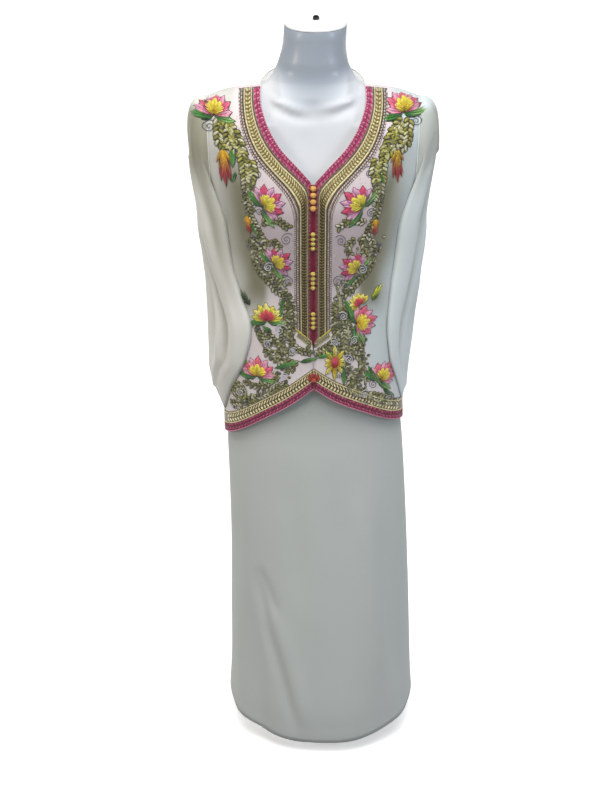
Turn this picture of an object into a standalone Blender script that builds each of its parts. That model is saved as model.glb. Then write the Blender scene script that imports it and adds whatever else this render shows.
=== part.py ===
"""A kaftan dress on a dress form, at its real size in metres, +Z up, facing -Y.

Two garments are worn together. A hip-length sheer overlay has a V neck, a placket closed by knot
buttons and long sleeves that hang empty. Under it a long plain dress falls almost to the floor. An
armless dress form on a pole stand carries both. Every piece of cloth is a wall of its own, cut from
the same few tables of half widths and depths, and trims are made from the points of the panel that
they lie on, moved outwards.
"""

import bisect
import math
from collections import namedtuple

import bpy
from mathutils import Matrix, Vector

# Cloth and gaps
CLOTH = 0.0012
SEAM = 0.0003
SEAM_ROOM = 0.0003
TRIM = 0.0010
TRIM_LIFT = 0.0009
STRIP_LIFT = 0.0015
SLEEVE_GAP = 0.005
ARMHOLE_GAP = 0.0009
UNDERARM_GAP = 0.0026
SQUARENESS = 2.3
NORMAL_STEP = 0.0015

# Neckline, placket and hem of the overlay
NECK_SIDE = 0.096
SHOULDER_TIP = 0.195
V_HEIGHT = 1.259
PLACKET_END = 0.945
PLACKET_HALF = 0.0035
PLACKET_CLOSES = 0.020
STRIP_HALF = 0.0105
TRIM_BAND = 0.042
EDGING_BAND = (0.02, 0.34)
BRAID_BAND = (0.42, 0.90)
HEM_EDGING_BAND = (0.0, 0.42)
HEM_BRAID_BAND = (0.47, 0.95)
TRIM_ENDS = (0.004, 0.030)
TRIM_ROWS = (13, 14)
HEM_ROWS = 14
HEM_TURNS = (0.006, 1.555)
HEM_START = 0.00075
STRIP_ROWS = 16
STRIP_TOP = 0.004
UNDERARM = 1.165
SHOULDER_ROUND = 0.09
BACK_NECK_RISE = 0.03
BACK_RIDGE_RISE = 0.062

# Dress under the overlay
DRESS_NECK_SIDE = 0.121
DRESS_TIP = 0.168
DRESS_V = 1.222
DRESS_UNDERARM = 1.150
DRESS_HEM = 0.030
DRESS_DROP = 0.0018
DRESS_NECK_POWER = 1.6

# Buttons
BUTTON = 0.0090
BUTTON_SQUASH = 0.94
BUTTON_LIFT = 0.0038
NOTCH_LIFT = 0.0063

# Form and stand
NECK_TOP = 1.520
NECK_TOP_FRONT = 1.512
NECK_FRONT = 0.056
NECK_CLEAR = (1.42, 0.03)
NECK_TILT = math.radians(10)
FORM_BASE = 0.765
CAP_THICK = 0.006
CAP_TAPER = 0.96
KNOB_RADIUS = 0.006
KNOB_HEIGHT = 0.007
POLE_RADIUS = 0.016
BASE_RADIUS = 0.140
BASE_THICK = 0.012
KNOB_SIDES, POLE_SIDES, BASE_SIDES = 12, 20, 40

# Cells: rows above the underarm, rows below it, columns across a half
OVERLAY_CELLS = (12, 11, 10)
BACK_CELLS = (12, 11, 8)
DRESS_CELLS = (8, 15, 8)

Girth = namedtuple("Girth", "height half_width front back centre")
Edge = namedtuple("Edge", "height out")
Crescent = namedtuple("Crescent", "height front_edge back_edge reach")
Fold = namedtuple("Fold", "turn drift width depth top")
Slant = namedtuple("Slant", "high low width depth")
Group = namedtuple("Group", "top pitch")

# Loose overlay, from the shoulder to the hem
OVERLAY_ROWS = [
    Girth(1.420, 0.228, 0.112, 0.092, 0.000),
    Girth(1.360, 0.228, 0.112, 0.093, 0.000),
    Girth(1.300, 0.222, 0.118, 0.096, 0.000),
    Girth(1.250, 0.213, 0.125, 0.098, 0.000),
    Girth(1.200, 0.198, 0.132, 0.100, 0.000),
    Girth(1.165, 0.186, 0.135, 0.101, 0.000),
    Girth(1.100, 0.180, 0.134, 0.101, 0.000),
    Girth(1.000, 0.178, 0.132, 0.105, 0.001),
    Girth(0.900, 0.180, 0.135, 0.114, 0.002),
    Girth(0.800, 0.183, 0.141, 0.125, 0.003),
    Girth(0.700, 0.186, 0.147, 0.134, 0.005),
]

# Dress, close at bust and waist, then widening to a hem that leans a little to the right
DRESS_ROWS = [
    Girth(1.410, 0.208, 0.101, 0.082, 0.0000),
    Girth(1.360, 0.208, 0.101, 0.083, 0.0000),
    Girth(1.300, 0.200, 0.107, 0.086, 0.0000),
    Girth(1.250, 0.190, 0.115, 0.088, 0.0000),
    Girth(1.200, 0.170, 0.122, 0.089, 0.0000),
    Girth(1.150, 0.146, 0.118, 0.086, 0.0000),
    Girth(1.090, 0.120, 0.098, 0.077, 0.0000),
    Girth(1.000, 0.137, 0.101, 0.087, 0.0005),
    Girth(0.920, 0.156, 0.111, 0.101, 0.0015),
    Girth(0.850, 0.167, 0.121, 0.112, 0.0025),
    Girth(0.780, 0.1745, 0.128, 0.120, 0.0040),
    Girth(0.700, 0.1810, 0.135, 0.129, 0.0070),
    Girth(0.600, 0.1845, 0.141, 0.137, 0.0120),
    Girth(0.450, 0.1895, 0.150, 0.147, 0.0175),
    Girth(0.300, 0.1955, 0.159, 0.157, 0.0205),
    Girth(0.150, 0.2010, 0.167, 0.166, 0.0230),
    Girth(0.030, 0.2095, 0.1735, 0.1735, 0.0235),
]

# Dress form, a general figure
FORM_ROWS = [
    Girth(1.530, 0.0565, 0.0560, 0.0560, 0.0050),
    Girth(1.490, 0.0545, 0.0530, 0.0540, 0.0035),
    Girth(1.450, 0.0600, 0.0570, 0.0570, 0.0010),
    Girth(1.425, 0.0900, 0.0660, 0.0620, 0.0000),
    Girth(1.400, 0.2010, 0.0770, 0.0690, 0.0000),
    Girth(1.360, 0.2010, 0.0880, 0.0750, 0.0000),
    Girth(1.300, 0.1930, 0.0980, 0.0790, 0.0000),
    Girth(1.250, 0.1800, 0.1070, 0.0810, 0.0000),
    Girth(1.200, 0.1600, 0.1150, 0.0820, 0.0000),
    Girth(1.150, 0.1370, 0.1100, 0.0790, 0.0000),
    Girth(1.090, 0.1130, 0.0905, 0.0700, 0.0000),
    Girth(1.000, 0.1290, 0.0935, 0.0800, 0.0000),
    Girth(0.920, 0.1480, 0.1030, 0.0940, 0.0000),
    Girth(0.850, 0.1580, 0.1110, 0.1040, 0.0000),
    Girth(0.765, 0.1600, 0.1150, 0.1080, 0.0000),
]

# Its top line, from the side of the neck over the shoulder to the rounded stump
FORM_SHOULDER = [
    Edge(1.4700, 0.0555),
    Edge(1.4460, 0.0610),
    Edge(1.4290, 0.0730),
    Edge(1.4163, 0.0870),
    Edge(1.4101, 0.1000),
    Edge(1.4065, 0.1200),
    Edge(1.4027, 0.1500),
    Edge(1.3970, 0.1700),
    Edge(1.3850, 0.1880),
    Edge(1.3550, 0.2000),
]

# Where its sections are taken, closer together over the shoulder
FORM_SIDES = 28
FORM_HEIGHTS = [FORM_BASE, 0.80, 0.85, 0.90, 0.95, 1.00, 1.045, 1.09, 1.125, 1.16, 1.20, 1.24, 1.28, 1.32]
FORM_HEIGHTS += [1.355, 1.375, 1.388, 1.397, 1.403, 1.4068, 1.411, 1.418, 1.427, 1.437, 1.449, 1.466, 1.487]

# Top line of the shoulder, out from the neck
SHOULDER_LINE = [
    Edge(1.4130, 0.095),
    Edge(1.4070, 0.150),
    Edge(1.3950, 0.190),
    Edge(1.3800, 0.215),
    Edge(1.3500, 0.240),
]

# Inner edge of the overlay front: the neckline, then the placket
NECK_EDGE = [
    Edge(1.413, 0.0960),
    Edge(1.400, 0.0958),
    Edge(1.370, 0.0880),
    Edge(1.322, 0.0615),
    Edge(1.288, 0.0305),
    Edge(1.259, 0.0040),
]

# Outer edge of the trim that follows it, read at the same share of the way down
TRIM_EDGE = [
    Edge(1.409, 0.1370),
    Edge(1.365, 0.1330),
    Edge(1.305, 0.1120),
    Edge(1.262, 0.0740),
    Edge(1.225, 0.0450),
    Edge(1.195, 0.0385),
]

# Front hem, out from the notch, as the height of the cloth's edge
HEM = {
    "left": [Edge(0.856, 0.000), Edge(0.822, 0.045), Edge(0.784, 0.103), Edge(0.722, 0.184)],
    "right": [Edge(0.856, 0.000), Edge(0.829, 0.042), Edge(0.799, 0.103), Edge(0.752, 0.184)],
}

# Sleeves: where the flattened tube's two edges lie on the body, and how far out its middle reaches
SLEEVE = {
    "left": [
        Crescent(1.150, 0.158, 0.160, 0.2190),
        Crescent(1.090, 0.150, 0.158, 0.2120),
        Crescent(1.030, 0.133, 0.156, 0.2050),
        Crescent(0.970, 0.117, 0.156, 0.2030),
        Crescent(0.900, 0.124, 0.158, 0.2040),
        Crescent(0.840, 0.142, 0.162, 0.2060),
        Crescent(0.775, 0.160, 0.168, 0.2030),
    ],
    "right": [
        Crescent(1.150, 0.158, 0.160, 0.2210),
        Crescent(1.090, 0.152, 0.158, 0.2150),
        Crescent(1.030, 0.145, 0.156, 0.2090),
        Crescent(0.970, 0.142, 0.156, 0.2030),
        Crescent(0.900, 0.145, 0.158, 0.2000),
        Crescent(0.840, 0.152, 0.162, 0.2000),
        Crescent(0.800, 0.160, 0.168, 0.2010),
    ],
}
CUFF_LIFT = {"left": 0.055, "right": 0.020}

# Slanting folds of a hanging sleeve: share of the way from its outer middle to its front edge,
# at the top and at the cuff
SLEEVE_FOLDS = [
    Slant(0.10, 0.80, 0.20, -0.0045),
    Slant(-0.25, 0.35, 0.24, 0.0050),
    Slant(-0.80, -0.55, 0.24, -0.0040),
]
FALL_RINGS = 9
HEAD_RINGS = 8
CUFF_LIFTS_OVER = 0.12
CRESCENT_FULLNESS = 2.4
CRESCENT_FLATNESS = 0.55
SLANTS_START = 0.15
SLANTS_GROW = 0.75

# The sleeve's direction where it leaves the armhole, at the underarm and at the shoulder, then where it hangs
LEAVES_OUT = (0.35, 0.95)
LEAVES_DOWN = (-0.55, -0.25)
HANGS_DOWN = -0.9

# Soft folds of the skirt: turn from the centre line at the hem, and how far it drifts upwards
SKIRT_FOLDS = {
    "front": [
        Fold(-0.98, -0.30, 0.16, 0.0075, 0.66),
        Fold(-0.62, -0.35, 0.15, -0.0060, 0.60),
        Fold(0.25, 0.05, 0.22, 0.0035, 0.55),
        Fold(0.95, 0.10, 0.18, 0.0060, 0.60),
    ],
    "back": [
        Fold(-0.95, 0.10, 0.20, 0.0060, 0.58),
        Fold(-0.35, 0.05, 0.20, -0.0050, 0.62),
        Fold(0.30, -0.05, 0.22, 0.0060, 0.62),
        Fold(0.90, 0.10, 0.18, 0.0050, 0.55),
    ],
}

BUTTON_GROUPS = [Group(1.249, 0.0118), Group(1.166, 0.0089), Group(1.090, 0.0092), Group(1.010, 0.0089)]
BUTTONS_A_GROUP = 4

# Which diagonal a cell of cloth is split along
INNER, OUTER = "inner", "outer"

Cut = namedtuple("Cut", "rows ridge_drop round")
OVERLAY = Cut(OVERLAY_ROWS, 0.0, SHOULDER_ROUND)
DRESS = Cut(DRESS_ROWS, DRESS_DROP, SHOULDER_ROUND - 0.004)


def eased(knots, values, at):
    """Value at this place on the smooth curve through the knots, which never swings past them."""
    if at <= knots[0]:
        return values[0]
    if at >= knots[-1]:
        return values[-1]
    steps = [(values[i + 1] - values[i]) / (knots[i + 1] - knots[i]) for i in range(len(knots) - 1)]

    def slope(i):
        if i == 0:
            return steps[0]
        if i == len(steps):
            return steps[-1]
        before, after = steps[i - 1], steps[i]
        return 0.0 if before * after <= 0 else 2 * before * after / (before + after)

    i = bisect.bisect_right(knots, at) - 1
    span = knots[i + 1] - knots[i]
    t = (at - knots[i]) / span
    rise = values[i + 1] - values[i]
    start, end = slope(i) * span, slope(i + 1) * span
    return values[i] + t * (start + t * ((3 * rise - 2 * start - end) + t * (start + end - 2 * rise)))


def by_height(rows, column, height):
    """A table's column at this height. The rows run downwards."""
    upward = rows[::-1]
    return eased([row.height for row in upward], [getattr(row, column) for row in upward], height)


def by_out(rows, out):
    """Height of a line at this distance out from the centre."""
    return eased([row.out for row in rows], [row.height for row in rows], out)


def ridge(cut, out, way):
    """Height at which front and back meet above this distance out: the shoulder, or behind the neck."""
    line = by_out(SHOULDER_LINE, out) - cut.ridge_drop
    if way > 0 and out < NECK_SIDE:
        line += BACK_RIDGE_RISE * math.sqrt(1 - (out / NECK_SIDE) ** 2)
    return line


def depth(cut, out, height, way):
    """How far the cloth lies before (way -1) or behind (way 1) the side seam's plane."""
    across = min(1.0, out / by_height(cut.rows, "half_width", height))
    plan = (1 - across**SQUARENESS) ** (1 / SQUARENESS)
    drop = min(1.0, max(0.0, (ridge(cut, out, way) - height) / cut.round))
    arch = math.sqrt(1 - (1 - drop) ** 2)
    full = by_height(cut.rows, "front" if way < 0 else "back", height)
    return full * plan * arch + SEAM_ROOM


def on_cloth(cut, way, side, out, height, lift=0.0):
    """Point of the cloth's middle surface, moved outwards along its normal by lift."""
    centre = by_height(cut.rows, "centre", height)
    here = depth(cut, out, height, way)
    point = Vector((centre + side * out, way * here, height))
    if lift:
        near, far = max(0.0, out - NORMAL_STEP), out + NORMAL_STEP
        low, high = height - NORMAL_STEP, height + NORMAL_STEP
        slope_x = (depth(cut, far, height, way) - depth(cut, near, height, way)) / (far - near)
        slope_z = (depth(cut, out, high, way) - depth(cut, out, low, way)) / (high - low)
        normal = Vector((-slope_x * side, way, -slope_z)).normalized()
        point += normal * lift
    return point


def turn_of(cut, out, height):
    """Angle round the section, 0 at the centre line and a right angle at the side seam."""
    share = min(1.0, max(0.0, out / by_height(cut.rows, "half_width", height)))
    return math.asin(share ** (SQUARENESS / 2))


def out_of(cut, turn, height):
    """Distance out from the centre at this angle round the section."""
    return by_height(cut.rows, "half_width", height) * math.sin(turn) ** (2 / SQUARENESS)


def panel_levels(cells):
    """Shares of the way from the shoulder to the underarm, then from there to the hem."""
    upper, lower, _ = cells
    levels = [(1 - math.cos(math.pi / 2 * j / upper), 0.0) for j in range(upper + 1)]
    return levels + [(1.0, j / lower) for j in range(1, lower + 1)]


def half_panel(cut, way, side, cells, inner, outer, top, hem):
    """Rows of points of a half panel. inner and outer give (out, height) at a level, top and hem a height."""
    columns = cells[2]
    rows = []
    for upper, lower in panel_levels(cells):
        in_out, in_height = inner(upper, lower)
        out_out, out_height = outer(upper, lower)
        in_turn = turn_of(cut, in_out, in_height)
        out_turn = turn_of(cut, out_out, out_height)
        row = []
        for i in range(columns + 1):
            share = i / columns
            turn = in_turn + (out_turn - in_turn) * share
            height = in_height + (out_height - in_height) * share
            for line, weight in ((top, 1 - upper), (hem, lower)):
                if weight > 0:
                    ends = line(in_out), line(out_out)
                    straight = ends[0] + (ends[1] - ends[0]) * share
                    height += weight * (line(out_of(cut, turn, height)) - straight)
            row.append(on_cloth(cut, way, side, out_of(cut, turn, height), height))
        rows.append(row)
    return rows


def shoulder_of(cut, way):
    """The shoulder line of a cut as a function of the distance out, with the raised neck behind."""

    def line(out):
        height = by_out(SHOULDER_LINE, out) - cut.ridge_drop
        if way > 0 and out < NECK_SIDE and cut is OVERLAY:
            height += BACK_NECK_RISE * math.sqrt(1 - (out / NECK_SIDE) ** 2)
        return height

    return line


def armhole(upper, lower):
    """Outer edge of the overlay's panels: the armhole, then the side seam."""
    top = by_out(SHOULDER_LINE, SHOULDER_TIP)
    height = top + (UNDERARM - top) * upper
    foot = by_height(OVERLAY_ROWS, "half_width", UNDERARM)
    out = SHOULDER_TIP + (foot - SHOULDER_TIP) * upper
    return out, height


def side_edge(hem_height):
    """The armhole and side seam of a half that ends at this height."""

    def edge(upper, lower):
        out, height = armhole(upper, lower)
        if lower > 0:
            height = UNDERARM + (hem_height - UNDERARM) * lower
            out = by_height(OVERLAY_ROWS, "half_width", height)
        return out, height

    return edge


def front_edge(upper, lower):
    """The neckline, the placket and the short closed seam under it."""
    top = NECK_EDGE[0].height
    if lower == 0:
        height = top + (V_HEIGHT - top) * upper
        return by_height(NECK_EDGE, "out", height), height
    notch = HEM["left"][0].height
    height = V_HEIGHT + (notch - V_HEIGHT) * lower
    closing = min(1.0, max(0.0, (PLACKET_END + PLACKET_CLOSES / 2 - height) / PLACKET_CLOSES))
    return PLACKET_HALF + (SEAM / 2 - PLACKET_HALF) * closing, height


def split_cell(vertices, cell, diagonal):
    """Two triangles for a four-cornered cell, along the diagonal that lies further in, or further out.
    The cells face inwards."""
    a, b, c, d = (vertices[i] for i in cell)
    inwards = (c - a).cross(d - b)
    first_is_inner = ((a + c) - (b + d)).dot(inwards) > 0
    if first_is_inner == (diagonal == INNER):
        return [(cell[0], cell[1], cell[2]), (cell[0], cell[2], cell[3])]
    return [(cell[0], cell[1], cell[3]), (cell[1], cell[2], cell[3])]


def grid_object(name, rows, thickness, colour, roughness, closed=False, metallic=0.0, diagonal=INNER):
    """A wall of cloth: an open surface through the rows, thickened evenly on both sides."""
    across = len(rows[0])
    vertices = [point for row in rows for point in row]
    faces = []
    for j in range(len(rows) - 1):
        for i in range(across if closed else across - 1):
            k = (i + 1) % across
            cell = (j * across + i, j * across + k, (j + 1) * across + k, (j + 1) * across + i)
            faces.extend(split_cell(vertices, cell, diagonal))
    mesh = bpy.data.meshes.new(name)
    mesh.from_pydata(vertices, [], faces)
    mesh.validate()
    piece = bpy.data.objects.new(name, mesh)
    wall = piece.modifiers.new("Wall", "SOLIDIFY")
    wall.thickness = thickness
    wall.offset = 0.0
    wall.use_even_offset = True
    return finish(piece, colour, roughness, metallic)


def finish(piece, colour, roughness, metallic=0.0):
    """Links a piece to the dress collection with its own material and smooth shading."""
    material = bpy.data.materials.new(piece.name)
    material.use_nodes = True
    shader = material.node_tree.nodes["Principled BSDF"]
    shader.inputs["Base Color"].default_value = (*colour, 1.0)
    shader.inputs["Roughness"].default_value = roughness
    shader.inputs["Metallic"].default_value = metallic
    material.diffuse_color = (*colour, 1.0)
    piece.data.materials.append(material)
    piece.data.shade_smooth()
    DRESS_COLLECTION.objects.link(piece)
    return piece


CREPE = (0.62, 0.63, 0.60)
CHIFFON = (0.80, 0.82, 0.79)
BRAID_GOLD = (0.72, 0.62, 0.32)
EDGING_PINK = (0.58, 0.09, 0.24)
CRIMSON = (0.22, 0.01, 0.03)
KNOT_YELLOW = (0.78, 0.58, 0.07)
FORM_WHITE = (0.80, 0.82, 0.85)
STEEL = (0.55, 0.56, 0.58)


def make_overlay():
    """Two front halves, the whole back, and both sleeves."""
    for side, name in ((-1, "left"), (1, "right")):
        hem = HEM[name]
        rows = half_panel(
            OVERLAY, -1, side, OVERLAY_CELLS, front_edge, side_edge(hem[-1].height),
            shoulder_of(OVERLAY, -1), lambda out, hem=hem: by_out(hem, out),
        )
        grid_object(f"overlay_front_{name}", faced(rows, side < 0), CLOTH, CHIFFON, 0.6)
    back = [[] for _ in panel_levels(BACK_CELLS)]
    for side, name in ((-1, "left"), (1, "right")):
        corner = HEM[name][-1].height
        middle = (HEM["left"][-1].height + HEM["right"][-1].height) / 2

        def centre_back(upper, lower):
            top = shoulder_of(OVERLAY, 1)(0.0)
            height = top + (UNDERARM - top) * upper if lower == 0 else UNDERARM + (middle - UNDERARM) * lower
            return 0.0, height

        half = half_panel(
            OVERLAY, 1, side, BACK_CELLS, centre_back, side_edge(corner), shoulder_of(OVERLAY, 1),
            lambda out, corner=corner: middle + (corner - middle) * (out / HEM["left"][-1].out) ** 2,
        )
        for whole, row in zip(back, half):
            whole.extend(row[:0:-1] if side < 0 else row)
    grid_object("overlay_back", faced(back, True), CLOTH, CHIFFON, 0.6)
    for side, name in ((-1, "left"), (1, "right")):
        rings = sleeve_rings(side, name)
        grid_object(f"sleeve_{name}", rings, CLOTH, CHIFFON, 0.6, closed=True, diagonal=OUTER)


def faced(rows, flip):
    """The same rows, turned so that their faces point inwards."""
    return [row[::-1] for row in rows] if flip else rows


def armhole_ring(side):
    """Points round the armhole, from the underarm up the front, over the shoulder and down the back."""
    upper = OVERLAY_CELLS[0]
    shares = [1 - math.cos(math.pi / 2 * j / upper) for j in range(upper + 1)]
    ring = []
    for way, order in ((-1, shares[::-1]), (1, shares[1:-1])):
        for share in order:
            out, height = armhole(share, 0.0)
            point = on_cloth(OVERLAY, way, side, out, height)
            point.x += side * (ARMHOLE_GAP + (UNDERARM_GAP - ARMHOLE_GAP) * share**2)
            if share == shares[0] or share == shares[-1]:
                point.y = 0.0
            ring.append(point)
    return ring


def crescent_ring(side, name, height, count):
    """Points of the hanging tube at this height, in the order of the armhole's: a flat crescent."""
    rows = SLEEVE[name]
    half_width = by_height(OVERLAY_ROWS, "half_width", height)
    centre = by_height(OVERLAY_ROWS, "centre", height)
    reach = by_height(rows, "reach", height) - side * centre
    full = reach - half_width - SLEEVE_GAP
    quarter = count // 4
    lift = CUFF_LIFT[name]
    last = rows[-1].height
    lifting = max(0.0, 1 - (height - last) / CUFF_LIFTS_OVER)
    ring = []
    for k in range(count):
        way = -1 if k <= count // 2 else 1
        step = k if k <= count // 2 else count - k
        edge = by_height(rows, "front_edge" if way < 0 else "back_edge", height)
        edge_turn = turn_of(OVERLAY, edge, height)
        outside = step > quarter
        share = (2 * quarter - step) / quarter if outside else step / quarter
        turn = math.pi / 2 + (edge_turn - math.pi / 2) * share
        deep = by_height(OVERLAY_ROWS, "front" if way < 0 else "back", height)
        swell = math.sqrt(max(0.0, 1 - share**CRESCENT_FULLNESS)) if outside else 0.0
        grow = SLEEVE_GAP + full * swell + swell * slant(-way * share, height, rows)
        x = (half_width + grow) * math.sin(turn) ** (2 / SQUARENESS)
        deep += SLEEVE_GAP + CRESCENT_FLATNESS * (grow - SLEEVE_GAP)
        y = way * deep * math.cos(turn) ** (2 / SQUARENESS)
        z = height + lift * lifting * swell
        ring.append(Vector((centre + side * x, y, z)))
    return ring


def slant(place, height, rows):
    """How far the sleeve's slanting folds move its outer wall at this place round it and height."""
    fall = (rows[0].height - height) / (rows[0].height - rows[-1].height)
    push = 0.0
    for fold in SLEEVE_FOLDS:
        line = fold.high + (fold.low - fold.high) * fall
        push += fold.depth * math.exp(-(((place - line) / fold.width) ** 2))
    return push * math.sin(math.pi * (SLANTS_START + SLANTS_GROW * fall))


def clear_of_body(point, side, gap):
    """The point, pushed out sideways until it is this far outside the overlay's own section."""
    centre = by_height(OVERLAY_ROWS, "centre", point.z)
    half_width = by_height(OVERLAY_ROWS, "half_width", point.z) + gap
    deep = by_height(OVERLAY_ROWS, "front" if point.y < 0 else "back", point.z) + gap
    x = abs(point.x - centre)
    spread = ((x / half_width) ** SQUARENESS + (abs(point.y) / deep) ** SQUARENESS) ** (1 / SQUARENESS)
    if point.z > UNDERARM or spread >= 1:
        return point
    return Vector((centre + side * x / spread, point.y / spread, point.z))


def sleeve_rings(side, name):
    """Rings of a sleeve: its head turns from the armhole down to the first crescent, then the tube falls."""
    start = armhole_ring(side)
    count = len(start)
    top = SLEEVE[name][0].height
    end = crescent_ring(side, name, top, count)
    middle = count // 2
    rings = []
    for j in range(HEAD_RINGS):
        t = j / HEAD_RINGS
        ring = []
        for k, (a, b) in enumerate(zip(start, end)):
            length = (b - a).length
            rise = 1 - abs(k - middle) / middle
            leave_out = LEAVES_OUT[0] + (LEAVES_OUT[1] - LEAVES_OUT[0]) * rise
            leave_down = LEAVES_DOWN[0] + (LEAVES_DOWN[1] - LEAVES_DOWN[0]) * rise
            out = Vector((side * leave_out, 0.0, leave_down)) * length
            down = Vector((0.0, 0.0, HANGS_DOWN)) * length
            point = (
                a * (2 * t**3 - 3 * t**2 + 1) + out * (t**3 - 2 * t**2 + t)
                + b * (3 * t**2 - 2 * t**3) + down * (t**3 - t**2)
            )
            ring.append(clear_of_body(point, side, SLEEVE_GAP * t) if j else point)
        rings.append(ring)
    bottom = SLEEVE[name][-1].height
    for j in range(FALL_RINGS + 1):
        rings.append(crescent_ring(side, name, top + (bottom - top) * j / FALL_RINGS, count))
    return rings if side < 0 else [ring[::-1] for ring in rings]


def trim_lines():
    """Pairs of (out, height) down the neckline and placket: the cloth's edge and the trim's far edge."""
    neck, fall = TRIM_ROWS
    lines = []
    for j in range(neck + 1):
        share = 1 - math.cos(math.pi / 2 * j / neck)
        near_height = NECK_EDGE[0].height + (V_HEIGHT - NECK_EDGE[0].height) * share
        far_top, far_end = TRIM_EDGE[0].height, TRIM_EDGE[-1].height
        far_height = far_top + (far_end - far_top) * share
        lines.append((
            (by_height(NECK_EDGE, "out", near_height), near_height),
            (by_height(TRIM_EDGE, "out", far_height), far_height),
        ))
    for j in range(1, fall + 1):
        share = j / fall
        near_end, far_end = (PLACKET_END + end for end in TRIM_ENDS)
        near_height = V_HEIGHT + (near_end - V_HEIGHT) * share
        far_height = TRIM_EDGE[-1].height + (far_end - TRIM_EDGE[-1].height) * share
        lines.append(((PLACKET_HALF, near_height), (TRIM_EDGE[-1].out, far_height)))
    return lines


def hem_lines(name):
    """Pairs of (out, height) along the front hem: on the cloth's edge, and on the band's upper edge."""
    lines = []
    for j in range(HEM_ROWS + 1):
        share = j / HEM_ROWS
        height = HEM[name][0].height + (HEM[name][-1].height - HEM[name][0].height) * share
        turn = HEM_TURNS[0] + (HEM_TURNS[1] - HEM_TURNS[0]) * share
        out = max(HEM_START, out_of(OVERLAY, turn, height))
        edge = by_out(HEM[name], out)
        lines.append(((out, edge), (out, edge + TRIM_BAND)))
    return lines


def band(name, side, lines, shares, cells, colour, roughness, metallic=0.0):
    """A flat trim between two shares of the way across the lines, laid on the overlay front."""
    lift = CLOTH / 2 + TRIM_LIFT + TRIM / 2
    rows = []
    for near, far in lines:
        row = []
        for i in range(cells + 1):
            share = shares[0] + (shares[1] - shares[0]) * i / cells
            out = near[0] + (far[0] - near[0]) * share
            height = near[1] + (far[1] - near[1]) * share
            row.append(on_cloth(OVERLAY, -1, side, out, height, lift))
        rows.append(row)
    rows = faced(rows, side < 0)
    return grid_object(name, rows, TRIM, colour, roughness, metallic=metallic, diagonal=OUTER)


def make_trims():
    """Crochet edging and gold braid, at the neck and placket and along the front hem."""
    down = trim_lines()
    for side, name in ((-1, "left"), (1, "right")):
        band(f"neck_edging_{name}", side, down, EDGING_BAND, 1, EDGING_PINK, 0.7)
        band(f"neck_braid_{name}", side, down, BRAID_BAND, 2, BRAID_GOLD, 0.4, 0.3)
        along = hem_lines(name)
        band(f"hem_edging_{name}", side, along, HEM_EDGING_BAND, 1, EDGING_PINK, 0.7)
        band(f"hem_braid_{name}", side, along, HEM_BRAID_BAND, 1, BRAID_GOLD, 0.4, 0.3)


def make_placket():
    """The strip under the placket's gap, the knot buttons on it and the knot at the notch."""
    rows = []
    top = V_HEIGHT - STRIP_TOP
    behind = -(CLOTH + STRIP_LIFT)
    for j in range(STRIP_ROWS + 1):
        height = top + (PLACKET_END - top) * j / STRIP_ROWS
        places = ((-1, STRIP_HALF), (1, 0.0), (1, STRIP_HALF))
        rows.append([on_cloth(OVERLAY, -1, side, out, height, behind) for side, out in places])
    grid_object("placket_strip", rows, CLOTH, CRIMSON, 0.7)
    heights = [group.top - group.pitch * i for group in BUTTON_GROUPS for i in range(BUTTONS_A_GROUP)]
    for number, height in enumerate(heights, 1):
        knot(f"button_{number:02d}", height, BUTTON_LIFT, KNOT_YELLOW)
    knot("notch_knot", HEM["left"][0].height + TRIM_BAND / 2, NOTCH_LIFT, CRIMSON)


def knot(name, height, lift, colour):
    """A round thread knot on the front's centre line."""
    bpy.ops.mesh.primitive_uv_sphere_add(segments=8, ring_count=6, radius=BUTTON / 2)
    piece = bpy.context.object
    piece.name = name
    piece.data.name = name
    point = on_cloth(OVERLAY, -1, 1, 0.0, height)
    piece.data.transform(Matrix.Diagonal((1.0, BUTTON_SQUASH, BUTTON_SQUASH, 1.0)))
    piece.data.transform(Matrix.Translation((point.x, point.y - lift, height)))
    for holder in list(piece.users_collection):
        holder.objects.unlink(piece)
    finish(piece, colour, 0.6)


def dress_neck(upper, lower):
    """Neckline of the dress, under the overlay's trim, then its centre line."""
    top = by_out(SHOULDER_LINE, DRESS_NECK_SIDE) - DRESS_DROP
    if lower == 0:
        height = top + (DRESS_V - top) * upper
        return DRESS_NECK_SIDE * (1 - upper**DRESS_NECK_POWER), height
    return 0.0, DRESS_V + (DRESS_HEM - DRESS_V) * lower


def dress_side(upper, lower):
    """Armhole of the dress, then its side seam."""
    top = by_out(SHOULDER_LINE, DRESS_TIP) - DRESS_DROP
    if lower == 0:
        height = top + (DRESS_UNDERARM - top) * upper
        foot = by_height(DRESS_ROWS, "half_width", DRESS_UNDERARM)
        return DRESS_TIP + (foot - DRESS_TIP) * upper, height
    height = DRESS_UNDERARM + (DRESS_HEM - DRESS_UNDERARM) * lower
    return by_height(DRESS_ROWS, "half_width", height), height


def folded(point, side, way):
    """The point moved out or in by the skirt's soft folds, which fade upwards."""
    folds = SKIRT_FOLDS["front" if way < 0 else "back"]
    half_width = by_height(DRESS_ROWS, "half_width", point.z)
    centre = by_height(DRESS_ROWS, "centre", point.z)
    turn = side * turn_of(DRESS, min(half_width, abs(point.x - centre)), point.z)
    push = 0.0
    for fold in folds:
        fade = max(0.0, 1 - (point.z - DRESS_HEM) / (fold.top - DRESS_HEM))
        place = fold.turn + fold.drift * (1 - fade)
        push += fold.depth * fade * math.exp(-(((turn - place) / fold.width) ** 2))
    seam = math.cos(turn) ** 0.5 if abs(turn) < math.pi / 2 else 0.0
    away = Vector((math.sin(turn), way * math.cos(turn), 0.0))
    return point + away * push * seam


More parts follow.
